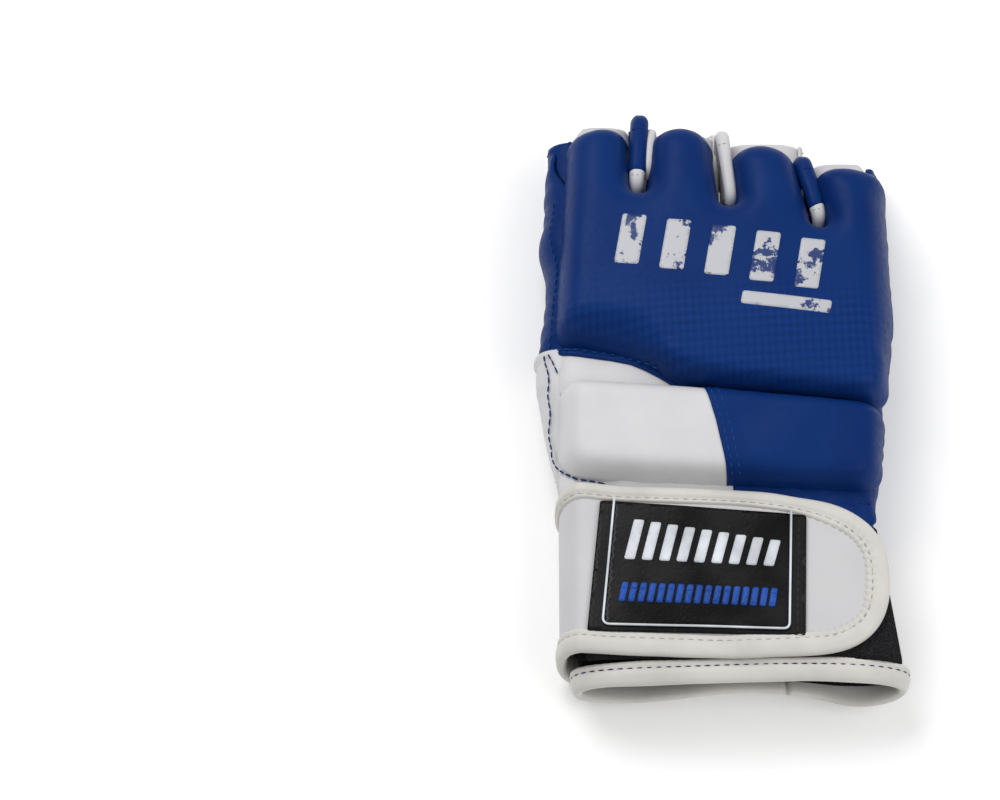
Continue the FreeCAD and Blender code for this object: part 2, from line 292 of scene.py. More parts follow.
def trim_leather(name, colour):
    """The folded binding: fine creases and a twill under its coat, and a slow change of tone."""
    m = Material(name)
    creases = m.texture("Noise", Scale=230.0, Detail=5.0)
    slow = m.texture("Noise", Scale=45.0, Detail=4.0)
    m.bump(creases, 0.3, 0.0006)
    twill = dict(wave_type="BANDS", bands_direction="DIAGONAL")
    m.bump(m.texture("Wave", Scale=900.0, Distortion=1.2, **twill), 0.1, 0.0002)
    tone = m.mix(m.ramp(slow, 0.35, 0.75), colour, tuple(0.86 * c for c in colour))
    return m.finish(tone, m.ramp(creases, 0.3, 0.7, 0.42, 0.6), 0.2)


def textile(name, colour, light, scale, ribs=False):
    """Knitted lining with ribs, or the loop pile of the fastener."""
    m = Material(name)
    fuzz = m.texture("Noise", Scale=scale, Detail=6.0, Roughness=0.7)
    m.bump(fuzz, 0.5, 0.0007)
    if ribs:
        bands = dict(wave_type="BANDS", bands_direction="X")
        m.bump(m.texture("Wave", Scale=130.0, Distortion=0.6, **bands), 0.6, 0.0009)
    return m.finish(m.mix(m.ramp(fuzz, 0.35, 0.72), colour, light), 0.92, 0.06)


def moulded_rubber(name, colour, roughness):
    """Moulded rubber or tape, a little uneven in tone and gloss."""
    m = Material(name)
    slow = m.texture("Noise", Scale=60.0, Detail=3.0)
    m.bump(m.texture("Noise", Scale=700.0, Detail=3.0), 0.18, 0.0003)
    tone = m.mix(m.ramp(slow, 0.3, 0.7), colour, tuple(min(1, 1.5 * c + 0.004) for c in colour))
    return m.finish(tone, m.ramp(slow, 0.3, 0.7, roughness - 0.05, roughness + 0.08), 0.16)


def worn_print(name, colour, under):
    """A screen print with flakes missing, through which the leather shows."""
    m = Material(name)
    flakes = m.texture("Noise", Scale=170.0, Detail=8.0, Roughness=0.72)
    patches = m.texture("Noise", Scale=60.0, Detail=3.0)
    missing = m.ramp(m.maths("ADD", flakes, patches), 1.06, 1.10)
    m.bump(flakes, 0.2, 0.0003)
    return m.finish(m.mix(missing, colour, under), 0.5)


def thread(name, colour):
    """Twisted sewing thread."""
    m = Material(name)
    twist = m.texture("Noise", Scale=1500.0, Detail=2.0)
    m.bump(twist, 0.3, 0.0003)
    return m.finish(m.mix(m.ramp(twist, 0.3, 0.7), colour, tuple(0.7 * c for c in colour)), 0.65, 0.08)


BLUE = (0.0042, 0.0275, 0.140)
BLUE_DEEP = (0.0032, 0.0220, 0.122)
CLOTH = (0.006, 0.006, 0.007)

blue_thread = thread("blue_thread", (0.005, 0.032, 0.15))
light_blue_thread = thread("light_blue_thread", (0.009, 0.062, 0.235))
grey_thread = thread("grey_thread", (0.46, 0.46, 0.45))

blue_leather = leather("blue_leather", BLUE, BLUE_DEEP, 0.42, shine=0.06)
embossed_leather = leather("blue_embossed_leather", BLUE, BLUE_DEEP, 0.42, shine=0.06, embossed=True)
white_leather = leather("white_leather", (0.625, 0.62, 0.63), (0.58, 0.58, 0.595), 0.45, soil=0.10)
strap_leather = leather("strap_leather", (0.57, 0.565, 0.575), (0.535, 0.53, 0.545), 0.47, soil=0.12)

# Each finish is a material with the record's slot for it.
BLUE_SKIN = (blue_leather, "blue_leather")
EMBOSSED_SKIN = (embossed_leather, "blue_leather")
WHITE_SKIN = (white_leather, "white_leather")
STRAP_SKIN = (strap_leather, "white_leather")
TRIM = (trim_leather("trim_leather", (0.625, 0.61, 0.57)), "trim_leather")
LINING = (textile("lining_cloth", CLOTH, (0.016, 0.016, 0.018), 900.0, ribs=True), "lining")
LOOP_PILE = (textile("loop_pile", CLOTH, (0.03, 0.03, 0.032), 1400.0), "loop")
HOOK_TAPE = (moulded_rubber("hook_tape", (0.012, 0.012, 0.013), 0.6), "hook")
BADGE_PLATE = (moulded_rubber("black_rubber", (0.0035, 0.0035, 0.0042), 0.38), "black_rubber")
BADGE_FIELD = (moulded_rubber("gloss_rubber", (0.003, 0.003, 0.0036), 0.24), "black_rubber")
BADGE_BLUE = (moulded_rubber("blue_rubber", (0.012, 0.06, 0.30), 0.42), "blue_leather")
BADGE_PALE = (moulded_rubber("pale_rubber", (0.50, 0.52, 0.56), 0.45), "grey_print")
BADGE_SEAM = (moulded_rubber("foam_edge", (0.02, 0.02, 0.02), 0.9), "black_rubber")
PRINT = (worn_print("print_grey", (0.46, 0.47, 0.50), BLUE), "grey_print")
BLUE_SEAM = (blue_thread, "blue_leather")
LIGHT_SEAM = (light_blue_thread, "blue_leather")
TRIM_SEAM = (grey_thread, "trim_leather")


# ------------------------------------------------------------------ making meshes


def piece(name, verts, faces, finish, body, nodes=()):
    """A finished object from points in millimetres. It rides on the named body, or body is a function that is
    called on it, and it stands for the CAD nodes."""
    mesh = bpy.data.meshes.new(name)
    mesh.from_pydata([tuple(v) for v in np.asarray(verts, float) * MM], [], [tuple(f) for f in faces])
    mesh.validate()
    bm = bmesh.new()
    bm.from_mesh(mesh)
    bmesh.ops.recalc_face_normals(bm, faces=bm.faces)
    bm.to_mesh(mesh)
    bm.free()
    mesh.shade_smooth()
    obj = bpy.data.objects.new(name, mesh)
    bpy.context.scene.collection.objects.link(obj)
    material, slot = finish
    obj.data.materials.append(material)
    if nodes:
        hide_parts(*nodes)
    if callable(body):
        body(obj)
    else:
        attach(obj, body)
    return obj


def thicken(verts, faces, thickness, normals=None):
    """A closed shell from an open surface: the surface and a copy moved against its normals."""
    verts = np.asarray(verts, float)
    faces = [list(f) for f in faces]
    if normals is None:
        normals = np.zeros_like(verts)
        for f in faces:
            a, b, c = verts[f[0]], verts[f[1]], verts[f[2]]
            normals[f] += np.cross(b - a, c - a)
        normals = unit(normals)
    count = len(verts)
    edges = {(f[i - 1], f[i]): None for f in faces for i in range(len(f))}
    rim = [(a, b) for a, b in edges if (b, a) not in edges]
    all_faces = faces + [[i + count for i in reversed(f)] for f in faces]
    all_faces += [[b, a, a + count, b + count] for a, b in rim]
    return np.vstack([verts, verts - normals * thickness]), all_faces


def grid_faces(rows, columns, around=False):
    """Quads of a grid of points, row by row, closed across its columns if it goes around."""
    faces = []
    for r in range(rows - 1):
        for c in range(columns if around else columns - 1):
            d = (c + 1) % columns
            faces.append([r * columns + c, r * columns + d, (r + 1) * columns + d, (r + 1) * columns + c])
    return faces


def tube_faces(count, sides, closed=False):
    """The faces of a tube of rings: joined end to end, or with a cap at each end."""
    last = (count - 1) * sides
    if closed:
        ends = [[last + k, last + (k + 1) % sides, (k + 1) % sides, k] for k in range(sides)]
    else:
        ends = [list(reversed(range(sides))), [last + k for k in range(sides)]]
    return grid_faces(count, sides, around=True) + ends


def flat_fill(outline, pitch, holes=()):
    """Triangles that fill an outline, less its holes, with inner points at the given pitch."""
    loops = [np.asarray(outline)] + [np.asarray(h) for h in holes]
    points, edges = [], []
    for loop in loops:
        start = len(points)
        points += [Vector(p) for p in loop]
        edges += [(start + i, start + (i + 1) % len(loop)) for i in range(len(loop))]
    low, high = loops[0].min(0), loops[0].max(0)
    xs, ys = np.arange(low[0], high[0], pitch), np.arange(low[1], high[1], pitch * 0.87)
    grid = np.array([(x + (j % 2) * pitch / 2, y) for j, y in enumerate(ys) for x in xs])
    keep = edge_distance(grid, loops[0])[0] > pitch * 0.45
    for hole in loops[1:]:
        keep &= edge_distance(grid, hole)[0] < -pitch * 0.45
    points += [Vector(p) for p in grid[keep]]
    result = delaunay_2d_cdt(points, edges, [], 0, 1e-4)
    verts = np.array([tuple(v) for v in result[0]])
    middles = np.array([verts[f].mean(0) for f in result[2]])
    inside = edge_distance(middles, loops[0])[0] > 0
    for hole in loops[1:]:
        inside &= edge_distance(middles, hole)[0] < 0
    return verts, [f for f, ok in zip(result[2], inside) if ok]


def sheet_piece(name, outline, height, thickness, finish, body, nodes=(), pitch=3.0):
    """A thin leather or textile panel: an outline filled, lifted to height(x, y) and given thickness."""
    verts, faces = flat_fill(outline, pitch)
    points = np.column_stack([verts, height(verts[:, 0], verts[:, 1])])
    return piece(name, *thicken(points, faces, thickness), finish, body, nodes)


def frames_along(path, normals, closed=False):
    """Surface normals square to a path, and its sideways directions."""
    if closed:
        tangent = unit(np.roll(path, -1, axis=0) - np.roll(path, 1, axis=0))
    else:
        tangent = unit(np.gradient(path, axis=0))
    normals = unit(normals - (normals * tangent).sum(1)[:, None] * tangent)
    return normals, np.cross(tangent, normals)


def sweep(path, normals, width, height, sides, taper=True, gather=0.0, gather_pitch=3.2, seed=1):
    """A rounded strip of the given width and height swept along a path, gathered if asked."""
    normal, side = frames_along(path, normals)
    rng = np.random.default_rng(seed)
    along = run_length(path)
    phase = along / gather_pitch * 2 * math.pi + 1.3 * wobble(along, 0.0, gather_pitch * 5, seed)
    roundness = 2 / 2.6
    verts = []
    count = len(path)
    for i in range(count):
        pinch = 1 - gather * (0.5 + 0.5 * math.sin(phase[i])) + gather * rng.uniform(-0.15, 0.15)
        end = 1.0
        if taper:
            e = min(i, count - 1 - i) / 2.0
            end = math.sqrt(max(0.0, 1 - (1 - min(1, e)) ** 2)) * 0.75 + 0.25
        for k in range(sides):
            a = 2 * math.pi * k / sides
            c, s = math.cos(a), math.sin(a)
            u = squared(c, roundness) * width / 2 * end
            v = squared(s, roundness) * height / 2 * end * (pinch if s > 0 else 1)
            verts.append(path[i] + side[i] * u + normal[i] * v)
    return np.array(verts), tube_faces(count, sides)


def joined(meshes):
    """Several (verts, faces) as one."""
    verts, faces, start = [], [], 0
    for v, f in meshes:
        verts.append(np.asarray(v))
        faces += [[i + start for i in face] for face in f]
        start += len(v)
    return np.vstack(verts), faces


STITCH_STEP = 0.5
STITCH_RINGS, STITCH_SIDES = 5, 6


def stitches(name, path, normals, finish, body, pitch=3.5, length=2.5, radius=0.33, closed=False):
    """A row of short rounded thread lengths, each dipping into the leather at its two ends."""
    line = resample(path, STITCH_STEP, closed)
    at = np.linspace(0, 1, len(path))
    normal, side = frames_along(line, points_at(np.linspace(0, 1, len(line)), at, normals), closed)
    sewn = []
    for s in range(int(len(line) * STITCH_STEP / pitch)):
        verts = []
        for r in range(STITCH_RINGS):
            t = r / (STITCH_RINGS - 1) * 2 - 1
            j = int(np.clip(((s + 0.5) * pitch + t * length / 2) / STITCH_STEP, 0, len(line) - 1))
            thin = math.sqrt(max(0.02, 1 - t ** 4))
            hub = line[j] + normal[j] * (radius * 0.75 - 0.1 - 0.5 * radius * t * t)
            for k in range(STITCH_SIDES):
                a = 2 * math.pi * k / STITCH_SIDES
                verts.append(hub + (side[j] * math.cos(a) + normal[j] * math.sin(a)) * radius * thin)
        sewn.append((verts, tube_faces(STITCH_RINGS, STITCH_SIDES)))
    return piece(name, *joined(sewn), finish, body)


def on_surface(points, height, lift=0.0):
    """A path on a height field, with its normals."""
    x, y = points[:, 0], points[:, 1]
    step = 0.5
    dx = (height(x + step, y) - height(x - step, y)) / (2 * step)
    dy = (height(x, y + step) - height(x, y - step)) / (2 * step)
    n = unit(np.stack([-dx, -dy, np.ones_like(x)], axis=1))
    return np.stack([x, y, height(x, y)], axis=1) + n * lift, n


def outward(points, centre):
    """Directions away from a line along Y through the centre (x, z)."""
    return unit((points - np.array([centre[0], 0.0, centre[1]])) * np.array([1, 0, 1]))


# ------------------------------------------------------------------ pads


def pad_mesh(outline, foot, height, voxel, edge, radius, settle):
    """A padded form over an outline: foot(x, y) is its underside, height(x, y) its full thickness.
    Its rim stands at the edge share of the thickness and the top rounds off over radius(x, y)."""
    block, bulge, power = 20.0, 1.4, 2.2
    verts, faces = flat_fill(outline, 4.0)
    top = np.column_stack([verts, np.full(len(verts), block)])
    verts, faces = thicken(top, faces, block, np.tile(UP, (len(top), 1)))
    mesh = bpy.data.meshes.new("pad_source")
    mesh.from_pydata([tuple(v) for v in verts], [], [tuple(f) for f in faces])
    obj = bpy.data.objects.new("pad_source", mesh)
    bpy.context.scene.collection.objects.link(obj)
    remesh = obj.modifiers.new("voxels", "REMESH")
    remesh.mode = "VOXEL"
    remesh.voxel_size = voxel
    done = bpy.data.meshes.new_from_object(obj.evaluated_get(bpy.context.evaluated_depsgraph_get()))
    co = np.array([v.co[:] for v in done.vertices])
    faces = [list(p.vertices) for p in done.polygons]
    bpy.data.objects.remove(obj)
    bpy.data.meshes.remove(done)
    level = np.clip(co[:, 2] / block, 0, 1)
    inside, out = edge_distance(co[:, :2], outline)
    d = np.clip(inside, 0, None)
    x, y = co[:, 0], co[:, 1]
    radius = radius(x, y)
    rise = edge + (1 - edge) * (1 - np.clip(1 - d / radius, 0, 1) ** power) ** (1 / power)
    full = height(x, y)
    swell = bulge * np.sin(np.pi * level ** 0.8) * np.clip(1 - d / (radius * 0.8), 0, 1)
    co[:, :2] += out * swell[:, None]
    co[:, 2] = foot(x, y) + level * full * rise
    a = np.array([i for f in faces for i in f])
    b = np.array([i for f in faces for i in f[1:] + f[:1]])
    a, b = np.concatenate([a, b]), np.concatenate([b, a])
    degree = np.bincount(a, minlength=len(co))[:, None]
    for _ in range(settle):
        total = np.zeros_like(co)
        np.add.at(total, a, co[b])
        co = 0.45 * co + 0.55 * total / degree
    return co, faces


def capped(verts, faces, plane, side):
    """The part of a closed mesh on one side of the wall x = plane(y), with the cut closed."""
    moved = verts.copy()
    moved[:, 0] -= plane(verts[:, 1])
    bm = bmesh.new()
    made = [bm.verts.new(v) for v in moved]
    for f in faces:
        bm.faces.new([made[i] for i in f])
    everything = bm.verts[:] + bm.edges[:] + bm.faces[:]
    cut = bmesh.ops.bisect_plane(
        bm, geom=everything, plane_co=(0, 0, 0), plane_no=(side, 0, 0), clear_inner=True, clear_outer=False)
    rim = [g for g in cut["geom_cut"] if isinstance(g, bmesh.types.BMEdge)]
    bmesh.ops.holes_fill(bm, edges=rim, sides=0)
    bm.verts.index_update()
    out = np.array([v.co[:] for v in bm.verts])
    out_faces = [[v.index for v in f.verts] for f in bm.faces]
    bm.free()
    out[:, 0] += plane(out[:, 1])
    return out, out_faces


def surface_of(verts, faces):
    """A lookup of the highest point of a mesh at each (x, y)."""
    tree = BVHTree.FromPolygons([Vector(v) for v in verts], [tuple(f) for f in faces])
    off_the_mesh = 27.0

    def height(x, y):
        out = np.zeros_like(x)
        for i in range(len(x)):
            hit = tree.ray_cast(Vector((x[i], y[i], 200.0)), Vector((0, 0, -1)))
            out[i] = hit[0].z if hit[0] is not None else off_the_mesh
        return out

    return height


# ------------------------------------------------------------------ the glove's own measures

BACK_TOP = span("hand_back_panel")[1][2]
KNUCKLE_TOP = span("knuckle_cover")[1][2]
BACK_PAD_TOP = span("back_pad_foam")[1][2]
STRAP_LOW, STRAP_HIGH = span("strap_binding")
BADGE_LOW, BADGE_HIGH = span("rubber_badge")
CUFF_LOW_Y = span("cuff_rim_binding")[0][1]
JOINT_AT = {joint["name"]: joint["pos_m"] for joint in frame["joints"]}
FLEX, FOLD = JOINT_AT["finger_flex"], JOINT_AT["strap_peel"]

FINGERS = ("index", "middle", "ring", "little")


def sides_and_end(node):
    """A finger piece's left side, right side and fingertips' end."""
    low, high = span(node)
    return low[0], high[0], high[1]


HUMPS = [sides_and_end(name + "_finger_cover") for name in FINGERS]
STALLS = {name: sides_and_end(name + "_stall") for name in FINGERS}

# Each notch between the humps: its right and left side at the fingertips' end, its right and left side at
# its floor, and the floor's y. The notches fan out towards the wrist on the little-finger side.
NOTCHES = ((-24.6, -34.4, -26.0, -32.6, 74.4), (5.0, -2.8, 8.0, 0.8, 68.6), (36.2, 28.2, 41.8, 35.2, 60.0))


def bends(obj):
    """The piece's placement, baked into its mesh."""
    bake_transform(obj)


# ------------------------------------------------------------------ knuckle pad

KNUCKLE_EDGE = [(-61.0, 16.2, 5), (-46.0, 13.4, 30), (-31.0, 9.0, 30), (-17.0, -0.6, 20), (0.0, -4.4, 40)]
KNUCKLE_EDGE += [(60.6, -10.5, 8), (64.3, 25.0, 60)]

# For each finger: how far its hump reaches past the CAD cover, the radius of its corners, and its fullness.
HUMP_REACH = (-0.2, -0.7, -1.8, -2.8)
HUMP_CORNER = (6.5, 11.0, 10.0, 6.5)
HUMP_FULLNESS = (0.5, 0.6, 0.6, 0.5)


def knuckle_outline():
    """The pad's outline: its lower edge, the humps from the little finger to the index, and the side."""
    points = list(KNUCKLE_EDGE)
    for i in (3, 2, 1, 0):
        right = 62.8 if i == 3 else NOTCHES[i][1]
        left = -54.8 if i == 0 else NOTCHES[i - 1][0]
        end = HUMPS[i][2] + HUMP_REACH[i]
        points.append((right + 0.3, end - (1.6 if i == 0 else 4.0), HUMP_CORNER[i]))
        points.append(((left + right) / 2, end + 0.6, 26))
        points.append((left - 0.3, end - (1.4 if i == 3 else 4.0), HUMP_CORNER[i]))
        if i:
            _right, _left, right_foot, left_foot, floor_y = NOTCHES[i - 1]
            points += [(right_foot, floor_y, 3.8), (left_foot, floor_y, 3.8)]
    points.append((-57.4, 68.0, 60))
    return rounded(points, 1.0)


def knuckle_foot(x, y):
    """The pad's underside wraps a little round the sides of the hand."""
    side = np.clip((np.abs(x + 0.5) - 52.0) / 12.0, 0, 1)
    return BACK_TOP - 1.0 - 6.0 * side ** 1.6 * (1 - smooth((y - 72.0) / 12.0))


def knuckle_height(x, y):
    """Highest over the knuckles: lower at its sides, its front, its heel and its thumb-side lower edge."""
    across = 1 - 0.10 * np.clip(np.abs(x) / 62.0, 0, 1) ** 2.2
    lobes = 0.0
    for (left, right, _end), depth in zip(HUMPS, HUMP_FULLNESS):
        lobes = lobes + depth * np.exp(-((x - (left + right) / 2) / 9.0) ** 2) * smooth((y - 42.0) / 30.0)
    front = 1 - 0.12 * smooth((y - 62.0) / 42.0)
    heel = 1 - 0.10 * smooth((24.0 - y) / 34.0)
    edge_side = 1 - 0.42 * smooth((24.0 - y) / 14.0) * smooth((-22.0 - x) / 22.0)
    waves = 0.35 * wobble(x, y, 46.0, 4) * smooth((y - 10) / 20)
    return (KNUCKLE_TOP - BACK_TOP + 2.0) * across * front * heel * edge_side + lobes + waves


def knuckle_radius(x, y):
    """The pad's edge is soft all round, and steep where it meets the back pad."""
    return 11.5 - 7.0 * smooth((12.0 - y) / 8.0) * smooth((x + 34.0) / 14.0)


def make_knuckle_pad():
    mesh = pad_mesh(knuckle_outline(), knuckle_foot, knuckle_height, 1.2, 0.44, knuckle_radius, 6)
    covers = ["knuckle_cover", "knuckle_foam"]
    covers += [f"{n}_finger_{layer}" for n in FINGERS for layer in ("cover", "foam")]
    obj = piece("knuckle_pad_skin", *mesh, EMBOSSED_SKIN, bends, covers)
    return surface_of(*mesh)


knuckle_surface = make_knuckle_pad()


# ------------------------------------------------------------------ back-of-hand pad

BACK_OUTLINE = [(-59.0, -36.8, 9), (-30, -39.6, 90), (56.8, -43.6, 9), (60.2, -11.0, 6), (0, -5.0, 120)]
BACK_OUTLINE += [(-60.0, -0.4, 7)]


def back_foot(x, y):
    """The pad's underside drops at the sides of the hand."""
    side = np.clip((np.abs(x + 0.5) - 50.0) / 12.0, 0, 1)
    return BACK_TOP - 1.5 - 7.0 * side ** 1.6


def back_height(x, y):
    """Nearly level, with slow waves."""
    across = 1 - 0.06 * np.clip(np.abs(x) / 60.0, 0, 1) ** 2
    return (BACK_PAD_TOP - BACK_TOP + 2.3) * across + 0.3 * wobble(x, y, 34.0, 9)


def back_seam(y):
    """X of the seam between the two covers, a slow S down the pad."""
    t = (-y - 2.0) / 42.0
    return -7.2 + 11.5 * smooth(t * 0.72 + 0.16) + 0.8 * np.sin(t * 5.0)


def make_back_pad():
    """The pad in two covers, with the blue cover lapped a little over the white one at their seam."""
    mesh = pad_mesh(rounded(BACK_OUTLINE, 1.0), back_foot, back_height, 1.15, 0.50, lambda x, y: 7.0, 5)
    lap_width = 1.2
    thumb = capped(*mesh, back_seam, -1)
    little = capped(*mesh, lambda y: back_seam(y) - lap_width, 1)
    co = little[0]
    out = unit(co - np.array([30.0, -26.0, BACK_TOP + 6.0]))
    lap = np.clip(1 - (co[:, 0] - back_seam(co[:, 1]) + lap_width) / 9.0, 0, 1)
    co[:, 2] += 0.55 * (0.4 + 0.6 * lap) * (co[:, 2] > BACK_TOP + 3)
    co[:, :2] += out[:, :2] * 0.25
    white = piece(
        "back_pad_thumb_skin", *thumb, WHITE_SKIN, "hand", ["back_pad_thumb_cover", "back_pad_foam"])
    blue = piece("back_pad_little_skin", *little, BLUE_SKIN, "hand", ["back_pad_little_cover"])
    surface = surface_of(*joined([thumb, little]))
    y = np.linspace(-5.5, -41.0, 40)
    for tag, shift in (("edge", 0.5), ("hem", 3.2)):
        path, normals = on_surface(np.column_stack([back_seam(y) + shift, y]), surface, -0.15)
        stitches(f"back_pad_seam_stitches_{tag}", path, normals, LIGHT_SEAM, "hand", pitch=3.4, length=2.3)


make_back_pad()


# ------------------------------------------------------------------ wedge between the pads

# The edge of the blue leather where it laps over the white wedge.
LAP_EDGE = [(-66.4, 13.4), (-57, 11.6), (-50, 10.3), (-40.7, 8.9), (-33.3, 7.0), (-27.8, 4.3), (-23, 1.4)]
LAP_EDGE += [(-17.0, -2.6)]


def wedge_height(x, y):
    """The wedge swells between the pads and falls away round the thumb side."""
    side = np.clip((-x - 52.0) / 14.8, 0, 1.1)
    swell = 2.2 * np.clip(1 - ((y - 3.0) / 12.0) ** 2, 0, 1)
    return BACK_TOP + 1.4 + swell - 11.5 * side ** 2.5 + 0.25 * wobble(x, y, 14.0, 3)


def lap_height(x, y):
    """The lapped band lies on the wedge and climbs to the pad behind it."""
    behind = y - np.interp(x, [p[0] for p in LAP_EDGE], [p[1] for p in LAP_EDGE])
    return wedge_height(x, y) + 1.2 + 2.6 * smooth((behind - 3.2) / 4.5)


def make_wedge():
    """The white wedge, the blue lap over its upper edge, and the lap's row of stitches."""
    corners = [(-66.3, -4.5, 2), (-12.0, -5.0, 3), (-14.0, 2.0, 3), (-40.0, 18.0, 20), (-66.3, 21.0, 2)]
    outline = rounded(corners, 1.5)
    sheet_piece("wedge_skin", outline, wedge_height, 1.4, WHITE_SKIN, "hand", ["wedge_panel"], pitch=2.2)
    lap = rounded([(x, y, 9) for x, y in LAP_EDGE], 0.8, closed=False)
    band = np.vstack([lap, lap[::-1] + np.array([1.0, 7.0])])
    sheet_piece("knuckle_lap_band", band, lap_height, 1.2, BLUE_SKIN, "hand", pitch=1.6)
    inward = rounded([(x + 0.5, y + 1.8, 9) for x, y in [(-61.5, 12.5)] + LAP_EDGE[1:-1]], 0.9, closed=False)
    path, normals = on_surface(inward, lambda x, y: np.maximum(knuckle_surface(x, y), lap_height(x, y)), 0.35)
    stitches("lap_edge_stitches", path, normals, LIGHT_SEAM, "hand", pitch=3.5, length=2.4)


make_wedge()


# ------------------------------------------------------------------ bindings

BINDING_SIDES = 26
GATHER_PITCH = 3.0

# How far towards its lip a binding's stitched groove lies, as a share of the half width.
GROOVE_AT = 0.42


def binding_section(lip):
    """The cross-section of a folded binding: a wide rounded band, a stitched groove and a narrow lip, as
    (share of the half width, share of the height). The lip is at positive u when lip is 1."""
    points = []
    for k in range(BINDING_SIDES):
        a = 2 * math.pi * k / BINDING_SIDES
        c, s = math.cos(a), math.sin(a)
        u, v = squared(c, 0.8), squared(s, 0.75) / 2
        if s > 0:
            groove = math.exp(-((lip * u - GROOVE_AT) / 0.13) ** 2)
            v -= 0.20 * groove + 0.16 * max(0.0, lip * u - GROOVE_AT) * 0.55
        points.append((u, v))
    return points


def binding_strip(path, normals, half_width, height, closed, lip, gather, seed):
    """A folded binding swept along a path, wrinkled across its lip where it is gathered."""
    normal, side = frames_along(path, normals, closed)
    section = binding_section(lip)
    along = run_length(path)
    waves = np.sin(2 * math.pi * along / GATHER_PITCH + 1.6 * wobble(along, 0.0, GATHER_PITCH * 6, seed))
    slow = wobble(along, 0.0, 23.0, seed + 5)
    gathers = np.broadcast_to(gather, (len(path),))
    half = half_width * (1 + 0.03 * slow)
    verts = []
    for i in range(len(path)):
        for u, v in section:
            rough = gathers[i] * waves[i] * smooth((lip * u + 0.1) / 0.7) * (0.5 if v > 0 else 0.1)
            across = u * half[i] + lip * gathers[i] * 0.35 * waves[i] * max(0.0, lip * u - 0.5)
            verts.append(path[i] + side[i] * across + normal[i] * (v * height + rough + 0.06 * slow[i]))
    return np.array(verts), tube_faces(len(path), BINDING_SIDES, closed)


def bound_edge(name, path, normals, body, node_names, width, height, gather, seed, lip=1, closed=False,
               seam=TRIM_SEAM):
    """A binding along an edge with its row of stitches. Its width and gather may change along the path."""
    half = np.broadcast_to(np.asarray(width, float), (len(path),)) / 2
    strip = binding_strip(path, normals, half, height, closed, lip, gather, seed)
    piece(name, *strip, TRIM, body, node_names)
    normal, side = frames_along(path, normals, closed)
    row = path + side * (lip * GROOVE_AT * half[:, None]) + normal * (0.30 * height - 0.05)
    stitches(name + "_stitches", row, normal, seam, body, radius=0.27, closed=closed)


# ------------------------------------------------------------------ wrap and strap

STRAP_THICK = 2.0


def mouth_dent(x, y):
    """The palm side of the cuff is pushed in at the middle of its rim."""
    return 10.0 * smooth((-86.0 - y) / 25.0) * np.exp(-((x - 5.0) / 28.0) ** 2)


def strap_height(x, y):
    """The strap lies over the cuff: a slow arch that falls away towards its free end."""
    arch = 1 - (x / 60.0) ** 2
    far = smooth((x - 34.0) / 30.0)
    return STRAP_LOW[2] + 1.9 + arch - 1.2 * far + 0.15 * wobble(x, y, 40.0, 8)


WRAP_ROOT_X = span("palm_wrap")[1][0]
WRAP_OUT_X = span("thumb_side_wrap")[0][0]


def wrap_section():
    """The run of the wrap and strap, as (x, z): palm root, round the thumb side, and over the back."""
    left = WRAP_OUT_X + 3.0
    palm = [(x, 1.7) for x in np.arange(WRAP_ROOT_X + 2.0, -48.0, -3.0)]
    side = [(-52.0, 1.9), (-56.5, 3.0), (left + 1.7, 6.5), (left + 0.3, 11.5), (left, 17.0)]
    side += [(left + 0.4, 22.5), (left + 2.2, 27.4), (left + 5.0, 30.4), (-53.0, 31.9)]
    back = [(x, strap_height(x, -75.0)) for x in np.arange(-49.0, STRAP_HIGH[0] + 4.0, 3.0)]
    return resample(np.array(palm + side + back), 1.0, closed=False)


SECTION = wrap_section()
SECTION_S = run_length(SECTION)
PALM_END_S = SECTION_S[np.argmax(SECTION[:, 0] < -52.0)]
FOLD_S = SECTION_S[np.argmax((SECTION[:, 1] > 28.0) & (SECTION[:, 0] > FOLD[0] / MM))]


def on_wrap(sy, lift=0.0):
    """Points of the wrap's surface, and its outward normals, from (distance along the run, y)."""
    s, y = sy[:, 0], sy[:, 1]
    x, z = points_at(s, SECTION_S, SECTION).T
    dx, dz = (points_at(s + 1.5, SECTION_S, SECTION) - points_at(s - 1.5, SECTION_S, SECTION)).T
    n = unit(np.stack([-dz, np.zeros_like(dx), dx], axis=1))
    z = z + np.where(s < PALM_END_S, mouth_dent(x, y) + 0.25 * wobble(x, y, 38.0, 6), 0)
    return np.stack([x, y, z], axis=1) + n * lift, n


def s_at_back(x):
    """Distance along the run to a given x on the back of the wrist."""
    back = SECTION_S > FOLD_S
    return np.interp(x, SECTION[back, 0], SECTION_S[back])


# The free end of the strap as (x, y), from its upper edge round to its lower edge.
STRAP_END = [(-45, -42.0), (0, -43.8), (18, -45.2), (35, -48.6), (45.5, -52.4), (53.6, -58.2), (58.6, -66.5)]
STRAP_END += [(59.2, -78.0), (58.6, -89.0), (55.6, -97.0), (49.6, -102.8), (40.0, -107.4), (0, -109.4)]
STRAP_END += [(-45, -107.4)]


def wrap_outline(inset):
    """The flat pattern of the wrap and strap: bound round every edge but the sewn root."""
    corner_s = PALM_END_S + 9.0
    edge = [(0.0, -4.5), (WRAP_ROOT_X - 5.0, -21.0), (corner_s, -46.5), (FOLD_S + 4.0, -39.5)]
    edge += [(s_at_back(x), y) for x, y in STRAP_END]
    edge += [(FOLD_S - 2.0, -105.8), (corner_s, -107.5), (WRAP_ROOT_X, -110.0), (0.0, -110.5)]
    path = settled(resample(edge, 2.0, closed=False), 14)
    ahead = unit(np.gradient(path, axis=0))
    return path + np.column_stack([ahead[:, 1], -ahead[:, 0]]) * inset


def peels(obj):
    """The piece's placement, baked into its mesh."""
    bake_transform(obj)


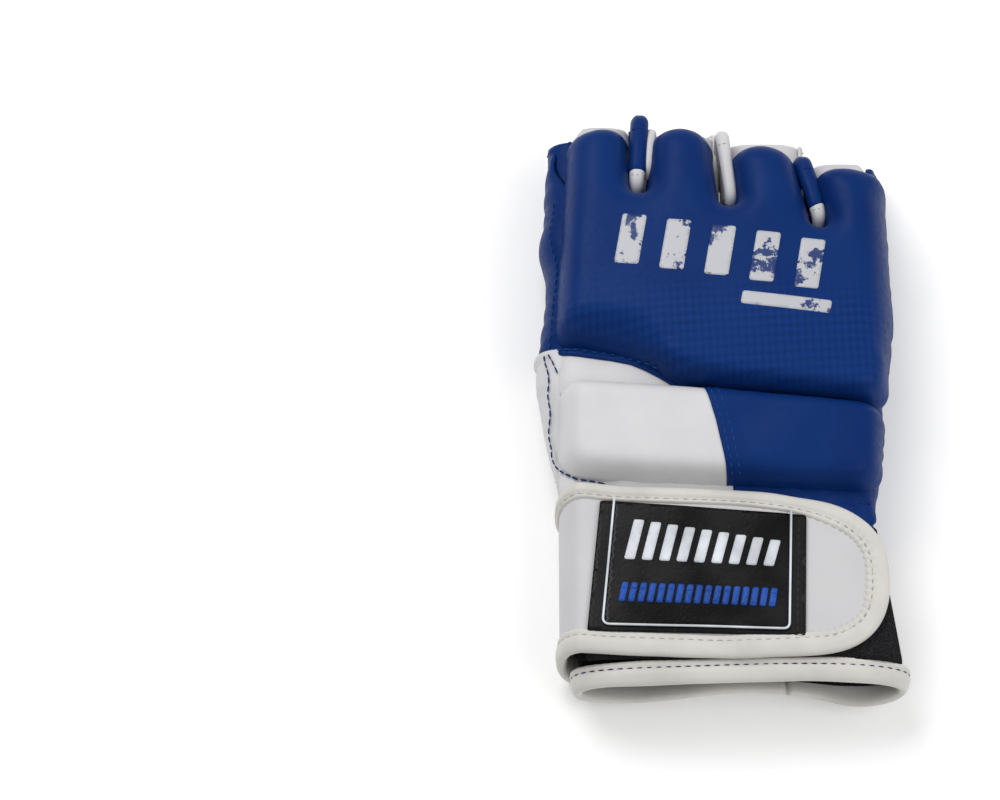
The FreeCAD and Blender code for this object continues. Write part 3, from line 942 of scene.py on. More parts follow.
def make_wrap():
    """The leather of the wrap and strap in one run, and the binding round it, wide at the strap's end."""
    flat, faces = flat_fill(resample(wrap_outline(2.2), 1.4), 2.6)
    points, normals = on_wrap(flat)
    piece("wrap_and_strap_skin", *thicken(points, faces, STRAP_THICK, normals), STRAP_SKIN, peels,
          ["palm_wrap", "thumb_side_wrap", "strap_panel", "strap_backing"])
    edge = resample(wrap_outline(3.6), 0.8, closed=False)
    path, normals = on_wrap(edge, -0.7)
    round_end = smooth((edge[:, 0] - s_at_back(24.0)) / 22.0)
    lower = smooth((-70.0 - edge[:, 1]) / 20.0)
    bound_edge(
        "wrap_and_strap_binding", path, normals, peels,
        ["strap_binding", "palm_wrap_top_binding", "palm_wrap_bottom_binding"],
        width=6.6 + 2.4 * np.maximum(round_end, lower), height=4.3, gather=0.08 + 0.75 * round_end, seed=3)


make_wrap()


def make_hook_panel():
    """The hook tape under the strap's free end."""
    low, high = span("hook_panel")
    corners = [(low[0], low[1], 14), (high[0], low[1], 14), (high[0], high[1], 14), (low[0], high[1], 14)]
    sheet_piece("hook_tape_panel", rounded(corners, 1.5),
                lambda x, y: strap_height(x, y) - STRAP_THICK + 0.05, 0.9, HOOK_TAPE, "strap", ["hook_panel"])


make_hook_panel()


# ------------------------------------------------------------------ badge


def badge_point(u, v):
    """A point of the badge's face, u across and v up, both 0 to 1, following its sloping edges."""
    left = BADGE_LOW[0] - 3.4 + 5.2 * v
    top = STRAP_HIGH[1] - 8.0 - 6.0 * u
    low = STRAP_LOW[1] + 9.3 - 2.1 * u
    return left + (BADGE_HIGH[0] - 1.6 * (1 - v) - left) * u, low + (top - low) * v


def badge_patch(points, radius, pitch=1.0, closed=True):
    """A rounded outline through (u, v) points of the badge's face."""
    return rounded([(*badge_point(u, v), radius) for u, v in points], pitch, closed)


def badge_plate(name, corners, lift, thickness, finish, nodes=()):
    sheet_piece(name, badge_patch(corners, 0.7), lambda x, y: strap_height(x, y) + lift, thickness, finish,
                "strap", nodes, pitch=1.5)


def badge_blocks(name, blocks, finish):
    """A row of small raised blocks as one piece."""
    parts = []
    for corners in blocks:
        verts, faces = flat_fill(badge_patch(corners, 0.5, 0.7), 1.5)
        top = np.column_stack([verts, strap_height(verts[:, 0], verts[:, 1]) + 2.1])
        parts.append(thicken(top, faces, 0.7, np.tile(UP, (len(top), 1))))
    piece(name, *joined(parts), finish, "strap")


def make_badge():
    """A sewn rubber plate with a raised field, a pale line, and rows of plain bars."""
    badge_plate("badge_plate", [(0, 0), (1, 0), (1, 1), (0, 1)], 1.0, 1.3, BADGE_PLATE, ["rubber_badge"])
    u0, u1, v0, v1 = 0.068, 0.925, 0.045, 1.02
    field = [(u0 + 0.004, v0), (u1 - 0.004, v0), (u1 - 0.004, 0.995), (u0 + 0.004, 0.995)]
    badge_plate("badge_field", field, 1.75, 1.1, BADGE_FIELD)
    line = badge_patch([(u0, v1), (u0, v0), (u1, v0), (u1, v1)], 2.0, 0.8, closed=False)
    strip = sweep(*on_surface(line, strap_height, 1.85), 0.85, 0.8, 8, taper=False)
    piece("badge_line", *strip, BADGE_PALE, "strap", ["badge_frame_line"])
    for k, u in enumerate((0.040, 0.962)):
        margin = resample([badge_point(u, 0.02), badge_point(u, 0.97)], 1.0, closed=False)
        path, normals = on_surface(margin, strap_height, 0.98)
        stitches(f"badge_margin_stitches_{k}", path, normals, BADGE_SEAM, "strap", pitch=3.0, length=2.1)
    pale, blue = [], []
    for k in range(9):
        left, low, high = 0.14 + 0.082 * k, 0.55, 0.86 - 0.012 * k
        pale.append([(left, low), (left + 0.050, low), (left + 0.082, high), (left + 0.032, high)])
    for k in range(17):
        left = 0.13 + 0.0435 * k
        blue.append([(left, 0.22), (left + 0.030, 0.22), (left + 0.042, 0.37), (left + 0.012, 0.37)])
    badge_blocks("badge_plain_motif", pale, BADGE_PALE)
    badge_blocks("badge_plain_bar", blue, BADGE_BLUE)


make_badge()


# ------------------------------------------------------------------ side gussets


def curve_of(points):
    """A smooth function through given (y, value) points, in order of y."""
    ys, vs = np.array(points, float).T
    slopes = np.gradient(vs, ys)

    def value(y):
        y = np.clip(y, ys[0], ys[-1])
        i = np.clip(np.searchsorted(ys, y) - 1, 0, len(ys) - 2)
        h = ys[i + 1] - ys[i]
        t = (y - ys[i]) / h
        a = (2 * t**3 - 3 * t**2 + 1) * vs[i] + (t**3 - 2 * t**2 + t) * h * slopes[i]
        return a + (-2 * t**3 + 3 * t**2) * vs[i + 1] + (t**3 - t**2) * h * slopes[i + 1]

    return value


# The widest line of the hand on each side, as x at each y.
THUMB_OUT = curve_of([(-50, -58.5), (-38, -59.8), (-32, -61.2), (-26, -63.0), (-16, -65.0), (-4, -66.9),
                      (6, -68.2), (18, -66.9), (34, -64.8), (48, -64.4), (60, -66.8), (72, -64.8),
                      (84, -64.4), (92, -64.0), (99, -62.8)])
LITTLE_OUT = curve_of([(-58, 55.6), (-50, 56.0), (-42, 57.2), (-30, 59.2), (-8, 60.6), (16, 62.2), (40, 63.6),
                       (58, 64.4), (72, 62.8), (86, 61.5), (100, 60.5)])

BLUE_GUSSET_TOP, WHITE_GUSSET_TOP = 32.0, 28.4
WHITE_TOP_Y = 12.8


def gusset_point(out_x, y, a, top):
    """A point of a side wall: a = 1 is under the pad's edge, 0 the widest line, -1 the palm's edge."""
    low, middle = 4.5, 15.0
    reach = (11.0 if a > 0 else 9.0) * (1 - 0.8 * smooth((y - 74.0) / 20.0))
    c = squared(math.cos(a * math.pi / 2), 0.75)
    s = squared(math.sin(a * math.pi / 2), 0.9)
    x = out_x - math.copysign(reach * (1 - abs(c)), out_x)
    return x, y, middle + s * ((top - middle) if a > 0 else (middle - low))


def thumb_top(y):
    """The blue thumb gusset's upper edge, lower where the lap of the pad covers it."""
    return BLUE_GUSSET_TOP - 3.4 * smooth((21.0 - y) / 7.0)


def make_gusset(name, out_curve, y_from, y_to, top, finish, node, seed, body=bends, tuck=0.0):
    """A side wall of the hand, puckered by its seams. Its upper edge top(y) sinks beside the fingertips'
    end and beside the strap. The last rows before y_to are drawn in by the tuck."""
    ys = np.arange(y_from, y_to + 0.1, 1.5)
    levels = np.linspace(0.97, -1.0, 26)
    rows = []
    for y in ys:
        edge = top(y) - 7.0 * smooth((y - 74.0) / 22.0) - 4.5 * smooth((-36.0 - y) / 12.0)
        for a in levels:
            x, _y, z = gusset_point(out_curve(y), y, a, edge)
            pucker = 0.55 * wobble(y, 3.0 * a, 9.0, seed) * math.cos(a * math.pi / 2)
            pucker -= tuck * smooth((y - y_to + 4.0) / 2.5)
            rows.append((x + math.copysign(pucker, x), y, z))
    rows = np.array(rows)
    shell = thicken(rows, grid_faces(len(ys), len(levels)), 1.4, outward(rows, (0.0, 15.0)))
    piece(name, *shell, finish, body, [node])


# The blue thread that closes the white gusset runs down it and turns under the back pad.
GUSSET_THREAD = [
    [(-64.6, 13.0), (-63.8, 6.5), (-63.2, 0.0), (-62.8, -20.0), (-62.4, -27.5), (-60.4, -32.0),
     (-57.6, -36.2), (-54.0, -39.0), (-47.0, -40.2), (-42.0, -41.2)],
    [(-63.2, 13.0), (-61.6, 10.0), (-60.4, 5.0), (-59.6, 1.5)],
]


def heel_height(x, y):
    """The white leather turned under the back pad."""
    side = np.clip((-x - 50.0) / 12.0, 0, 1.2)
    return BACK_TOP + 2.0 + 1.6 * smooth((x + 44.0) / 8.0) - 6.0 * side ** 2.2


def little_heel_height(x, y):
    """Crumpled leather between the back pad and the strap on the little-finger side."""
    side = np.clip((x - 48.0) / 9.0, 0, 1)
    rumple = 0.3 + 0.6 * smooth((x - 44.0) / 5.0)
    return BACK_TOP + 3.7 - 5.6 * side ** 2 + rumple * wobble(x, y, 7.0, 17)


def gusset_z(x, y):
    """Height of the white gusset's top at a place, on its wall or on the flat under the back pad."""
    best = heel_height(x, y) if y < -20 else wedge_height(x, y) if y > -4 else 0.0
    for a in np.linspace(0.0, 0.97, 60):
        gx, _gy, gz = gusset_point(THUMB_OUT(y), y, a, WHITE_GUSSET_TOP)
        if gx >= x:
            return max(best, gz)
    return max(best, 28.3)


def make_gusset_threads():
    """The thick blue thread of the white gusset, and the seam along the blue one."""
    for k, points in enumerate(GUSSET_THREAD):
        line = rounded([(x, y, 5) for x, y in points], 0.9, closed=False)
        line[:, 0] += 0.35 * np.sin(line[:, 1] / 2.3)
        path = np.column_stack([line, [gusset_z(x, y) for x, y in line]])
        lean = -0.9 * smooth((-56.0 - line[:, 0]) / 5.0)
        normals = unit(np.column_stack([lean, np.zeros_like(lean), np.ones_like(lean)]))
        stitches(f"thumb_gusset_stitches_{k}", path + normals * 0.75, normals, BLUE_SEAM, "hand",
                 pitch=3.3, length=3.1, radius=0.34)
    ys = np.arange(WHITE_TOP_Y + 2, 78.0, 1.0)
    line = [gusset_point(THUMB_OUT(y), y, 0.60 + 0.04 * math.sin(y / 7.0), thumb_top(y)) for y in ys]
    normals = outward(np.array(line), (-50.0, 12.0))
    stitches("thumb_gusset_blue_stitches", line + normals * 0.5, normals, LIGHT_SEAM, bends,
             pitch=3.3, length=2.4)


def make_gussets():
    """Both side walls, the leather turned under the back pad at their lower ends, and their stitches."""
    make_gusset("thumb_gusset_blue", THUMB_OUT, WHITE_TOP_Y, 99.0, thumb_top, BLUE_SKIN,
                "thumb_gusset_upper", 21)
    make_gusset("thumb_gusset_white", THUMB_OUT, -47.0, WHITE_TOP_Y + 2.6, lambda y: WHITE_GUSSET_TOP,
                WHITE_SKIN, "thumb_gusset_lower", 22, "hand", tuck=1.5)
    make_gusset("little_gusset_blue", LITTLE_OUT, -57.0, 92.0, lambda y: BLUE_GUSSET_TOP, BLUE_SKIN,
                "little_gusset", 23)
    heel = [(-62.0, -16.0, 2), (-50.0, -20.0, 3), (-38.0, -32.0, 3), (4.0, -36.0, 2), (4.6, -48.0, 2),
            (-46.0, -48.0, 9), (-60.0, -50.0, 4)]
    sheet_piece("thumb_gusset_heel", rounded(heel, 1.5), heel_height, 1.3, WHITE_SKIN, "hand", pitch=2.2)
    little = [(3.4, -36.0, 2), (46.0, -37.0, 2), (57.6, -34.0, 3), (55.4, -46.0, 6), (56.4, -56.5, 3),
              (47.0, -58.2, 2), (44.6, -54.0, 3), (28.5, -49.9, 9), (4.0, -48.2, 2)]
    little = rounded(little, 1.2)
    sheet_piece("little_gusset_heel", little, little_heel_height, 1.3, BLUE_SKIN, "hand", pitch=1.5)
    row = resample([(46.0, -50.0), (51.0, -48.6), (56.0, -48.2)], 0.9, closed=False)
    path, normals = on_surface(row, little_heel_height)
    stitches("little_gusset_heel_stitches", path, normals, BLUE_SEAM, "hand", pitch=3.2, length=2.4)
    make_gusset_threads()


make_gussets()


# ------------------------------------------------------------------ finger stalls

# The end of each stall: (on the back, palm side towards the thumb, palm side towards the little finger).
STALL_ENDS = {"index": (109.8, 105.0, 93.0), "middle": (106.4, 116.5, 114.5), "ring": (102.6, 110.0, 108.0)}
STALL_ENDS["little"] = (94.0, 92.0, 99.5)
STALL_Z = 14.6


def stall_ring(name, grow, angle):
    """X and Z of a stall's wall at an angle, growing outward by grow."""
    left, right, _ = STALLS[name]
    if name == "index":
        left = -63.6
    if name == "little":
        right = 62.4
    half_x, half_z = (right - left) / 2 + grow - 0.1, 12.6 + grow
    x = (left + right) / 2 + half_x * squared(math.cos(angle), 0.62)
    return x, STALL_Z + half_z * squared(math.sin(angle), 0.62)


def stall_skin(label, name, grow, thickness, angles, start, short, finish, nodes=(), around=False):
    """A stall's leather over a range of angles, or all around. It runs from y = start to the stall's
    slanting end, less short."""
    back_end, thumb_end, little_end = STALL_ENDS[name]
    left, right, _ = STALLS[name]
    cx = (left + right) / 2
    count = 26
    rows = []
    for t in np.linspace(0, 1, count):
        for a in angles:
            x, z = stall_ring(name, grow, a)
            palm_end = thumb_end + (little_end - thumb_end) * smooth((x - left) / (right - left))
            corner_cut = {"index": smooth((-49.0 - x) / 7.0), "little": smooth((x - 54.0) / 7.0)}
            to_back = smooth((z - 8.0) / 16.0)
            back = back_end - 7.5 * corner_cut.get(name, 0.0)
            end = palm_end + (back - palm_end) * to_back - short
            y = start + (end - start) * t
            pull = 1.0 - 0.05 * smooth((t - 0.55) / 0.45) * (z < 15)
            crease = 0.35 * wobble(x + 3 * z, y, 17.0, 31 + FINGERS.index(name))
            rows.append((cx + (x - cx) * pull, y, z + crease * (1 if z < 20 else 0.2)))
    rows = np.array(rows)
    normals = outward(rows, (cx, STALL_Z))
    faces = grid_faces(count, len(angles), around)
    piece(label, *thicken(rows, faces, thickness, normals), finish, "fingers", nodes)
    return rows.reshape(count, len(angles), 3), normals.reshape(count, len(angles), 3)


def make_stalls():
    """Each stall's outer leather, open where its neighbour or the pad covers it, its liner and its hem."""
    full = np.linspace(0, 2 * math.pi, 72, endpoint=False)
    for name in FINGERS:
        white = name in ("middle", "ring")
        finish = WHITE_SKIN if white else BLUE_SKIN
        low = -(1.40 if name == "index" else 1.16) * math.pi
        high = (0.26 if name == "little" else 0.16) * math.pi
        outer = np.linspace(low, high, 58)
        rows, normals = stall_skin(
            name + "_stall_skin", name, 0.0, 1.2, outer, 80.0, 0.0, finish, [name + "_stall"])
        stall_skin(name + "_stall_liner", name, -1.35, 0.9, full, 80.6, 0.6, WHITE_SKIN, around=True)
        keep = rows[-3][:, 2] < 24
        hem, n = rows[-3][keep], normals[-3][keep]
        seam = (grey_thread if white else blue_thread, finish[1])
        stitches(name + "_stall_hem_stitches", hem + n * 0.05, n, seam, "fingers",
                 pitch=3.2, length=2.3, radius=0.27)


make_stalls()


def divider_path(x_foot, x_end, y_foot, y_end):
    """From the notch on the back, forward between the fingers, and down towards the palm."""
    foot_z, top_z = 37.0, 36.5
    points = [(x_foot, y_foot, foot_z - 5), (x_foot, y_foot + 3.0, foot_z)]
    points += [(0.5 * (x_foot + x_end), 0.5 * (y_foot + y_end), top_z + 0.8)]
    points += [(x_end, y_end - 3.0, top_z - 1.5), (x_end, y_end, top_z - 7.0)]
    points += [(x_end, y_end - 4.0, 18.0), (x_end, y_end - 12.0, 9.0)]
    p = np.array(points, float)
    return settled(points_at(np.linspace(0, len(p) - 1, 60), range(len(p)), p), 10)


def divider_frames(path):
    """Directions away from the hand, square to a divider's path all the way down, and sideways."""
    return frames_along(path, np.cross(np.array([1.0, 0.0, 0.0]), np.gradient(path, axis=0)))


def rolled_tube(name, path, radius_from, radius_to, finish, seed, nodes=()):
    """A strip rolled into a tube: its free edge stands a little proud along one side."""
    normal, side = divider_frames(path)
    sides = 20
    verts = []
    count = len(path)
    for i in range(count):
        radius = radius_from + (radius_to - radius_from) * i / (count - 1)
        e = min(i, count - 1 - i) / 1.5
        end = 0.80 + 0.20 * math.sqrt(max(0.0, 1 - (1 - min(1, e)) ** 2))
        for k in range(sides):
            a = 2 * math.pi * k / sides
            roll = 0.10 * smooth(math.cos(a - 0.9)) - 0.16 * math.exp(-((a - 1.45) / 0.18) ** 2)
            r = radius * end * (1 + roll + 0.03 * wobble(i * 0.6, k * 1.0, 9.0, seed))
            verts.append(path[i] + (side[i] * math.cos(a) + normal[i] * math.sin(a)) * r)
    piece(name, verts, tube_faces(count, sides), finish, bends, nodes)


# Each divider: its x and y at the foot and at the end, its radii there, and its finish.
DIVIDERS = (
    ("index_middle_divider", -30.4, -28.8, 77.5, 109.0, 3.2, 3.4, BLUE_SKIN),
    ("middle_ring_divider", 5.0, 2.4, 71.5, 103.0, 2.2, 2.8, WHITE_SKIN),
    ("ring_little_divider", 38.0, 32.6, 63.5, 91.0, 3.1, 3.9, BLUE_SKIN),
)


def make_dividers():
    """A rolled strip in each notch, stitched at its foot and its top. The blue ones have a white cap."""
    for k, (name, x_foot, x_end, y_foot, y_end, r_foot, r_end, finish) in enumerate(DIVIDERS):
        path = divider_path(x_foot, x_end, y_foot, y_end)
        blue = finish is BLUE_SKIN
        if blue:
            rolled_tube(name + "_cap", path[:15], r_foot * 0.72, r_foot * 0.92, WHITE_SKIN, 40 + k)
        rolled_tube(name + "_roll", path[12 if blue else 3:], r_foot, r_end, finish, 44 + k, [name])
        normal, side = divider_frames(path)
        top = (26, (r_foot + (r_end - r_foot) * 0.3) * 1.03, blue_thread if blue else grey_thread)
        foot = (11 if blue else 37, r_foot * (0.86 if blue else 1.02), grey_thread)
        for tag, (at, r, sewing) in (("top", top), ("foot", foot)):
            angle = np.linspace(0.15 * math.pi, 0.85 * math.pi, 14)
            out = np.array([side[at] * math.cos(a) + normal[at] * math.sin(a) for a in angle])
            stitches(f"{name}_stitches_{tag}", path[at] + out * r, out, (sewing, finish[1]), bends,
                     pitch=1.9, length=1.4, radius=0.2)
    second = divider_path(-25.8, -24.4, 83.0, 104.5)
    rolled_tube("index_middle_thin_roll", second[2:], 1.7, 2.1, WHITE_SKIN, 50)


make_dividers()


# ------------------------------------------------------------------ palm side

PALM_OUT_Z = span("palm_thumb_panel")[0][2]


def palm_height(x, y):
    """The outer face of the palm leather, which looks down."""
    return PALM_OUT_Z + 0.25 * wobble(x, y, 30.0, 15) + 0.9 * smooth((-14.0 - y) / 12.0) + mouth_dent(x, y)


def palm_sheet(name, outline, node, body="hand", holes=(), lift=0.0):
    """A panel of the palm's blue leather, its outer face down."""
    verts, faces = flat_fill(outline, 3.0, holes)
    points = np.column_stack([verts, palm_height(verts[:, 0], verts[:, 1]) + lift])
    shell = thicken(points, faces, 1.3, np.tile(-UP, (len(points), 1)))
    piece(name, *shell, BLUE_SKIN, body, [node])


def palm_path(points, lift=0.7):
    """A path along the palm's outer face, with its normals."""
    path = np.column_stack([points, palm_height(points[:, 0], points[:, 1]) + lift])
    return path, np.tile(-UP, (len(path), 1))


THUMB_HOLE_CENTRE = (-26.0, 9.5)
THUMB_HOLE_AXES = (27.5, 20.5)
THUMB_HOLE_TURN = math.radians(-40.0)


def thumb_hole(grow, count):
    """The thumb's hole: an egg, wider towards the wrist, tilted across the palm."""
    t = np.linspace(0, 2 * math.pi, count, endpoint=False)
    x = (THUMB_HOLE_AXES[0] + grow) * np.cos(t)
    y = (THUMB_HOLE_AXES[1] + grow) * np.sin(t) * (1 + 0.10 * np.cos(t))
    c, s = math.cos(THUMB_HOLE_TURN), math.sin(THUMB_HOLE_TURN)
    return np.stack([THUMB_HOLE_CENTRE[0] + c * x - s * y, THUMB_HOLE_CENTRE[1] + s * x + c * y], axis=1)


CRESCENT_TOP = [(-57.5, 55.0, 0), (-40.0, 62.5, 30), (-5.0, 65.8, 60), (34.0, 63.5, 60), (58.0, 54.5, 0)]
CRESCENT_LOW = [(-58.0, 50.5, 0), (-30.0, 47.0, 40), (2.0, 34.5, 16), (32.0, 45.5, 50), (58.0, 49.5, 0)]
HEEL_EDGE = [(14.0, -110.0, 0), (13.5, -10.0, 60), (14.0, 15.5, 12), (30.0, 20.5, 30), (59.5, 17.5, 0)]
PALM_SEAM_X = 5.0


def palm_side(out_curve, y_from, y_to):
    """The palm leather's outer edge: it stops short of the gusset's widest line."""
    ys = np.arange(y_from, y_to, 3.0 if y_to > y_from else -3.0)
    xs = out_curve(ys)
    return np.column_stack([xs - np.sign(xs) * 5.6, ys])


def make_palm():
    """The blue leather of the palm, in three pieces, round its three openings."""
    band = rounded(CRESCENT_TOP, 1.5, False)
    outline = np.vstack([band, palm_side(LITTLE_OUT, 57.0, 85.0), palm_side(THUMB_OUT, 88.0, 57.0)])
    palm_sheet("palm_band_skin", resample(outline, 2.0), "palm_finger_band", bends, lift=0.3)
    low = rounded(CRESCENT_LOW, 1.5, False)
    heel = [(PALM_SEAM_X, 20.0), (11.5, 14.0), (11.5, -60.0), (11.5, -102.0), (7.5, -107.0), (0.0, -108.0),
            (-47.0, -108.0), (-51.5, -60.0)]
    left = np.vstack([low[low[:, 0] < PALM_SEAM_X], heel, palm_side(THUMB_OUT, -46.0, 46.0)])
    hole = thumb_hole(2.5, 90)[::-1]
    palm_sheet("palm_thumb_skin", resample(left, 1.6), "palm_thumb_panel", holes=[hole])
    heel = [(52.0, -64.0), (54.6, -106.0), (50.5, -106.0), (50.5, -30.0), (56.0, -18.0), (57.0, 12.0),
            (30.0, 21.5), (14.0, 17.0), (11.0, 13.0), (PALM_SEAM_X, 19.0)]
    right = np.vstack([low[low[:, 0] > PALM_SEAM_X], palm_side(LITTLE_OUT, 45.0, -56.0), heel])
    palm_sheet("palm_little_skin", resample(right, 1.6), "palm_little_panel")
    seam = resample([(PALM_SEAM_X + 1.2, 35.0), (PALM_SEAM_X + 1.4, 19.0)], 0.8, closed=False)
    stitches("palm_seam_stitches", *palm_path(seam, -0.05), BLUE_SEAM, "hand", pitch=3.2, length=2.3)
    bound_edge("crescent_top_fold", *palm_path(rounded(CRESCENT_TOP, 0.8, False)), bends,
               ["crescent_top_binding"], width=6.6, height=4.0, gather=0.15, seed=61)
    bound_edge("crescent_lower_fold", *palm_path(rounded(CRESCENT_LOW, 0.8, False)), "hand",
               ["crescent_lower_binding"], width=6.8, height=4.0, gather=0.12, seed=62, lip=-1)
    bound_edge("thumb_hole_fold", *palm_path(thumb_hole(3.2, 260)), "hand", ["thumb_hole_binding"],
               width=7.0, height=4.2, gather=0.45, seed=63, lip=-1, closed=True)
    path, normals = palm_path(rounded(HEEL_EDGE, 0.8, False))
    path[:, 2] += 1.7 * smooth((-12.0 - path[:, 1]) / 12.0)
    bound_edge("heel_opening_fold", path, normals, "hand", ["heel_opening_binding"],
               width=6.8, height=4.0, gather=0.4, seed=64)


make_palm()


def make_welt():
    """The rolled welt along the foot of the two white stalls, with its two rows of stitches."""
    low, high = span("stall_welt")
    x = np.linspace(low[0] + 1.0, high[0] - 1.0, 110)
    y = (low[1] + high[1]) / 2 + 1.6 - 2.6 * ((x + 5.0) / 34.0) * 0.9 + 0.6 * np.sin(x / 9.0)
    path = np.column_stack([x, y, np.full_like(x, low[2] + 1.6)])
    normals = np.tile(-UP, (len(x), 1))
    roll = sweep(path, normals, 5.6, 3.0, 16, gather=0.12, gather_pitch=4.0, seed=70)
    piece("stall_welt_roll", *roll, TRIM, "fingers", ["stall_welt"])
    for k, shift in enumerate((-1.5, 1.4)):
        row = path + np.array([0.0, shift, -1.25])
        stitches(f"stall_welt_stitches_{k}", row, normals, TRIM_SEAM, "fingers",
                 pitch=3.2, length=2.3, radius=0.26)


make_welt()


# ------------------------------------------------------------------ cuff


def cuff_half_width(y, side):
    """The cuff widens towards its rim on the little-finger side, and narrows a little on the thumb side."""
    grow = np.clip((-52.0 - y) / 58.0, 0, 1)
    return (54.8 + 10.4 * grow) if side > 0 else -(56.0 - 1.6 * smooth(grow))


def cuff_point(t, y, inward=0.0):
    """A point of the cuff's loop at turn t: 0 the little side, a quarter the back, a half the thumb side."""
    right, left = cuff_half_width(y, 1), cuff_half_width(y, -1)
    x = (right + left) / 2 + ((right - left) / 2 - inward) * squared(math.cos(t), 0.55)
    across = np.clip((x - 4.0) / 58.0, -1, 1)
    low = 5.6 + mouth_dent(x, y)
    high = BACK_TOP - 0.6 + 0.8 * (1 - across ** 2)
    return x, y, (low + high) / 2 + ((high - low) / 2 - inward) * squared(math.sin(t), 0.7)


def make_cuff():
    """The cuff's base leather, its rim binding, and the open slit on the palm side."""
    start, end = -0.468 * math.pi, 1.528 * math.pi
    ys = np.linspace(-42.0, CUFF_LOW_Y + 5.5, 34)
    ts = np.linspace(start, end, 130)
    rows = [cuff_point(t, y, 1.2) for y in ys for t in ts]
    piece("cuff_wall", *thicken(rows, grid_faces(len(ys), len(ts)), 1.3), LINING, "hand",
          ["cuff_thumb_wall", "cuff_little_wall"])
    rim = np.array([cuff_point(t, CUFF_LOW_Y + 3.6, 0.2) for t in np.linspace(start, end, 300)])
    rim[:, 2] += 0.9 * smooth((rim[:, 2] - 20.0) / 6.0)
    rim[:, 1] += 0.8 * np.sin(rim[:, 0] / 24.0) + 0.5
    far_corner = smooth((rim[:, 0] - 22.0) / 30.0) * smooth((14.0 - rim[:, 2]) / 9.0)
    rim[:, 1] -= 3.0 * far_corner
    rim[:, 2] -= 1.6 * far_corner
    normals = (rim - rim.mean(0)) * np.array([0.35, 0.0, 2.2])
    normals[:, 1] = -0.25 * np.linalg.norm(normals, axis=1)
    bound_edge("cuff_rim_fold", rim, unit(normals), "hand", ["cuff_rim_binding"], width=9.0, height=4.2,
               gather=0.12, seed=81, seam=(blue_thread, "trim_leather"))


make_cuff()


def loop_height(x, y):
    """The loop panel lies over the cuff's back and falls away at both sides."""
    drop = 10.0 * np.clip((np.abs(x - 3.0) - 50.0) / 14.0, 0, 1) ** 2
    return BACK_TOP + 1.3 + 0.8 * (1 - (x / 64.0) ** 2) - drop


def make_back_layers():
    """The loop panel, the base layer under the pads and its lining, which close the hand's cavity."""
    loop = [(-51, -109.2, 1), (64.2, -109.2, 1), (55.8, -57.5, 1), (46.0, -57.5, 1), (44.0, -53.0, 1),
            (28.0, -49.0, 1), (4.0, -47.2, 1), (-52, -47, 1)]
    base = [(-55, -108, 3), (58, -108, 3), (52.5, -56, 9), (56.5, 8, 20), (59, 66, 6), (-59, 66, 6),
            (-58, -20, 9)]
    for name, corners, outline_pitch, drop, thickness, finish, node, pitch in (
        ("loop_pile_panel", loop, 1.5, 0.0, 1.4, LOOP_PILE, "loop_panel", 3.0),
        ("hand_base_skin", base, 2.0, 1.9, 1.2, LINING, "hand_back_panel", 4.0),
        ("hand_lining_skin", base, 2.0, 3.3, 0.9, LINING, "hand_lining", 4.0),
    ):
        sheet_piece(name, rounded(corners, outline_pitch), lambda x, y: loop_height(x, y) - drop, thickness,
                    finish, "hand", [node], pitch=pitch)


make_back_layers()


# ------------------------------------------------------------------ print on the knuckles


def make_knuckle_print():
    """A plain row of slanted bars with a short bar below, in worn pale print."""
    shapes = []
    for k in range(5):
        x, y = -39.5 + 16.6 * k, 50.5 - 2.5 * k
        shapes.append([(x, y - 9.5), (x + 9.0, y - 10.3), (x + 12.5, y + 10.0), (x + 3.5, y + 10.8)])
    shapes.append([(7.0, 24.0), (40.0, 20.2), (41.0, 25.4), (8.0, 29.2)])
    parts = []
    for corners in shapes:
        verts, faces = flat_fill(rounded([(x, y, 0.8) for x, y in corners], 0.9), 1.3)
        path, normals = on_surface(verts, knuckle_surface, 0.16)
        parts.append(thicken(path, faces, 0.3, normals))
    piece("knuckle_plain_print", *joined(parts), PRINT, "hand")


make_knuckle_print()


# ------------------------------------------------------------------ stage and camera


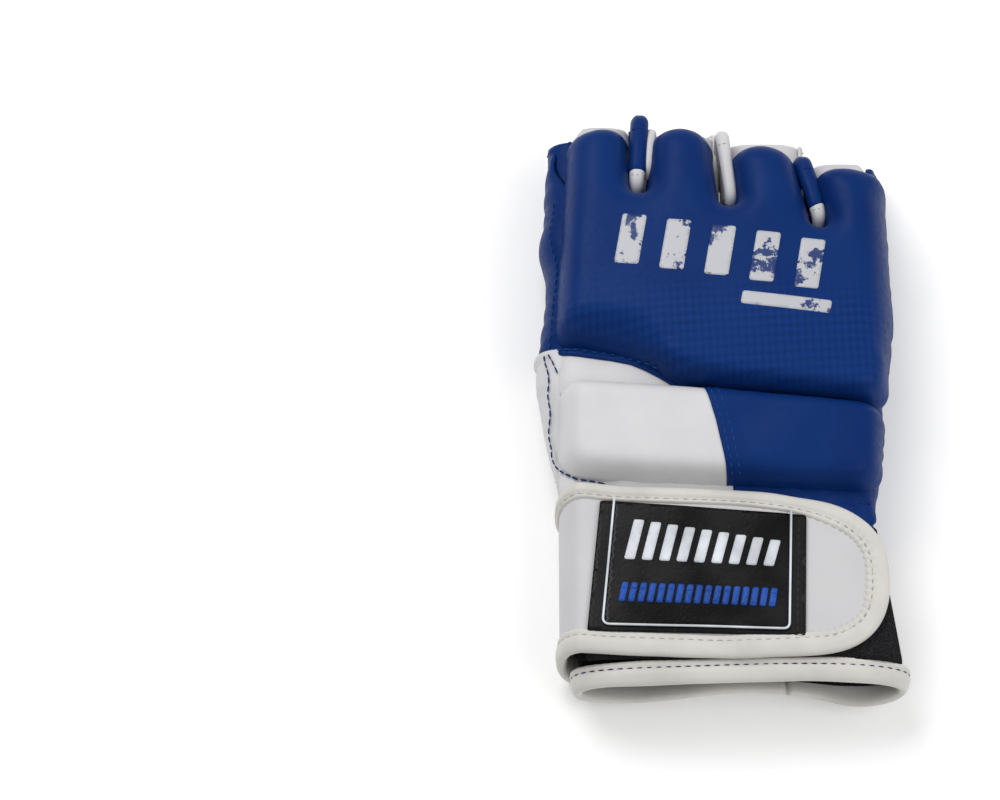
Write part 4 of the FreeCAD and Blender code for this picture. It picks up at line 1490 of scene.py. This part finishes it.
def make_stage():
    bpy.ops.mesh.primitive_plane_add(size=6.0, location=(0, 0, -0.0005))
    floor = bpy.context.object
    floor.name = "floor"
    material = bpy.data.materials.new("floor_white")
    material.use_nodes = True
    shader = material.node_tree.nodes["Principled BSDF"]
    shader.inputs["Base Color"].default_value = (0.9, 0.9, 0.9, 1)
    shader.inputs["Roughness"].default_value = 0.9
    shader.inputs["Specular IOR Level"].default_value = 0.1
    shader.inputs["Emission Color"].default_value = (1, 1, 1, 1)
    shader.inputs["Emission Strength"].default_value = 0.16
    floor.data.materials.append(material)
    world = bpy.data.worlds.new("studio")
    bpy.context.scene.world = world
    world.use_nodes = True
    background = world.node_tree.nodes["Background"]
    background.inputs["Color"].default_value = (1, 1, 1, 1)
    background.inputs["Strength"].default_value = 0.42


def area_light(name, location, target, size, power):
    data = bpy.data.lights.new(name, "AREA")
    data.shape = "RECTANGLE"
    data.size, data.size_y = size
    data.energy = power
    obj = bpy.data.objects.new(name, data)
    bpy.context.scene.collection.objects.link(obj)
    obj.location = location
    obj.rotation_euler = (Vector(target) - Vector(location)).to_track_quat("-Z", "Y").to_euler()


CAMERA_ELEVATION = 65.5
CAMERA_DISTANCE = 1.60
LENS = 155.6
# Where the camera looks: the glove lies to the right of the picture's middle.
LOOK_AT = (-0.0818, -0.0070, 0.030)


def make_camera():
    data = bpy.data.cameras.new("camera")
    camera = bpy.data.objects.new("camera", data)
    bpy.context.scene.collection.objects.link(camera)
    data.lens = LENS
    data.clip_start, data.clip_end = 0.05, 20.0
    e = math.radians(CAMERA_ELEVATION)
    back = Vector((0, -math.cos(e), math.sin(e)))
    camera.location = Vector(LOOK_AT) + back * CAMERA_DISTANCE
    camera.rotation_euler = (-back).to_track_quat("-Z", "Y").to_euler()
    bpy.context.scene.camera = camera


make_stage()
area_light("key", (-0.45, 0.55, 0.95), (0, 0, 0.02), (0.9, 0.7), 9.0)
area_light("fill", (0.75, -0.35, 0.85), (0, 0, 0.02), (1.1, 0.8), 6.0)
make_camera()
bpy.context.scene.view_settings.view_transform = "Standard"
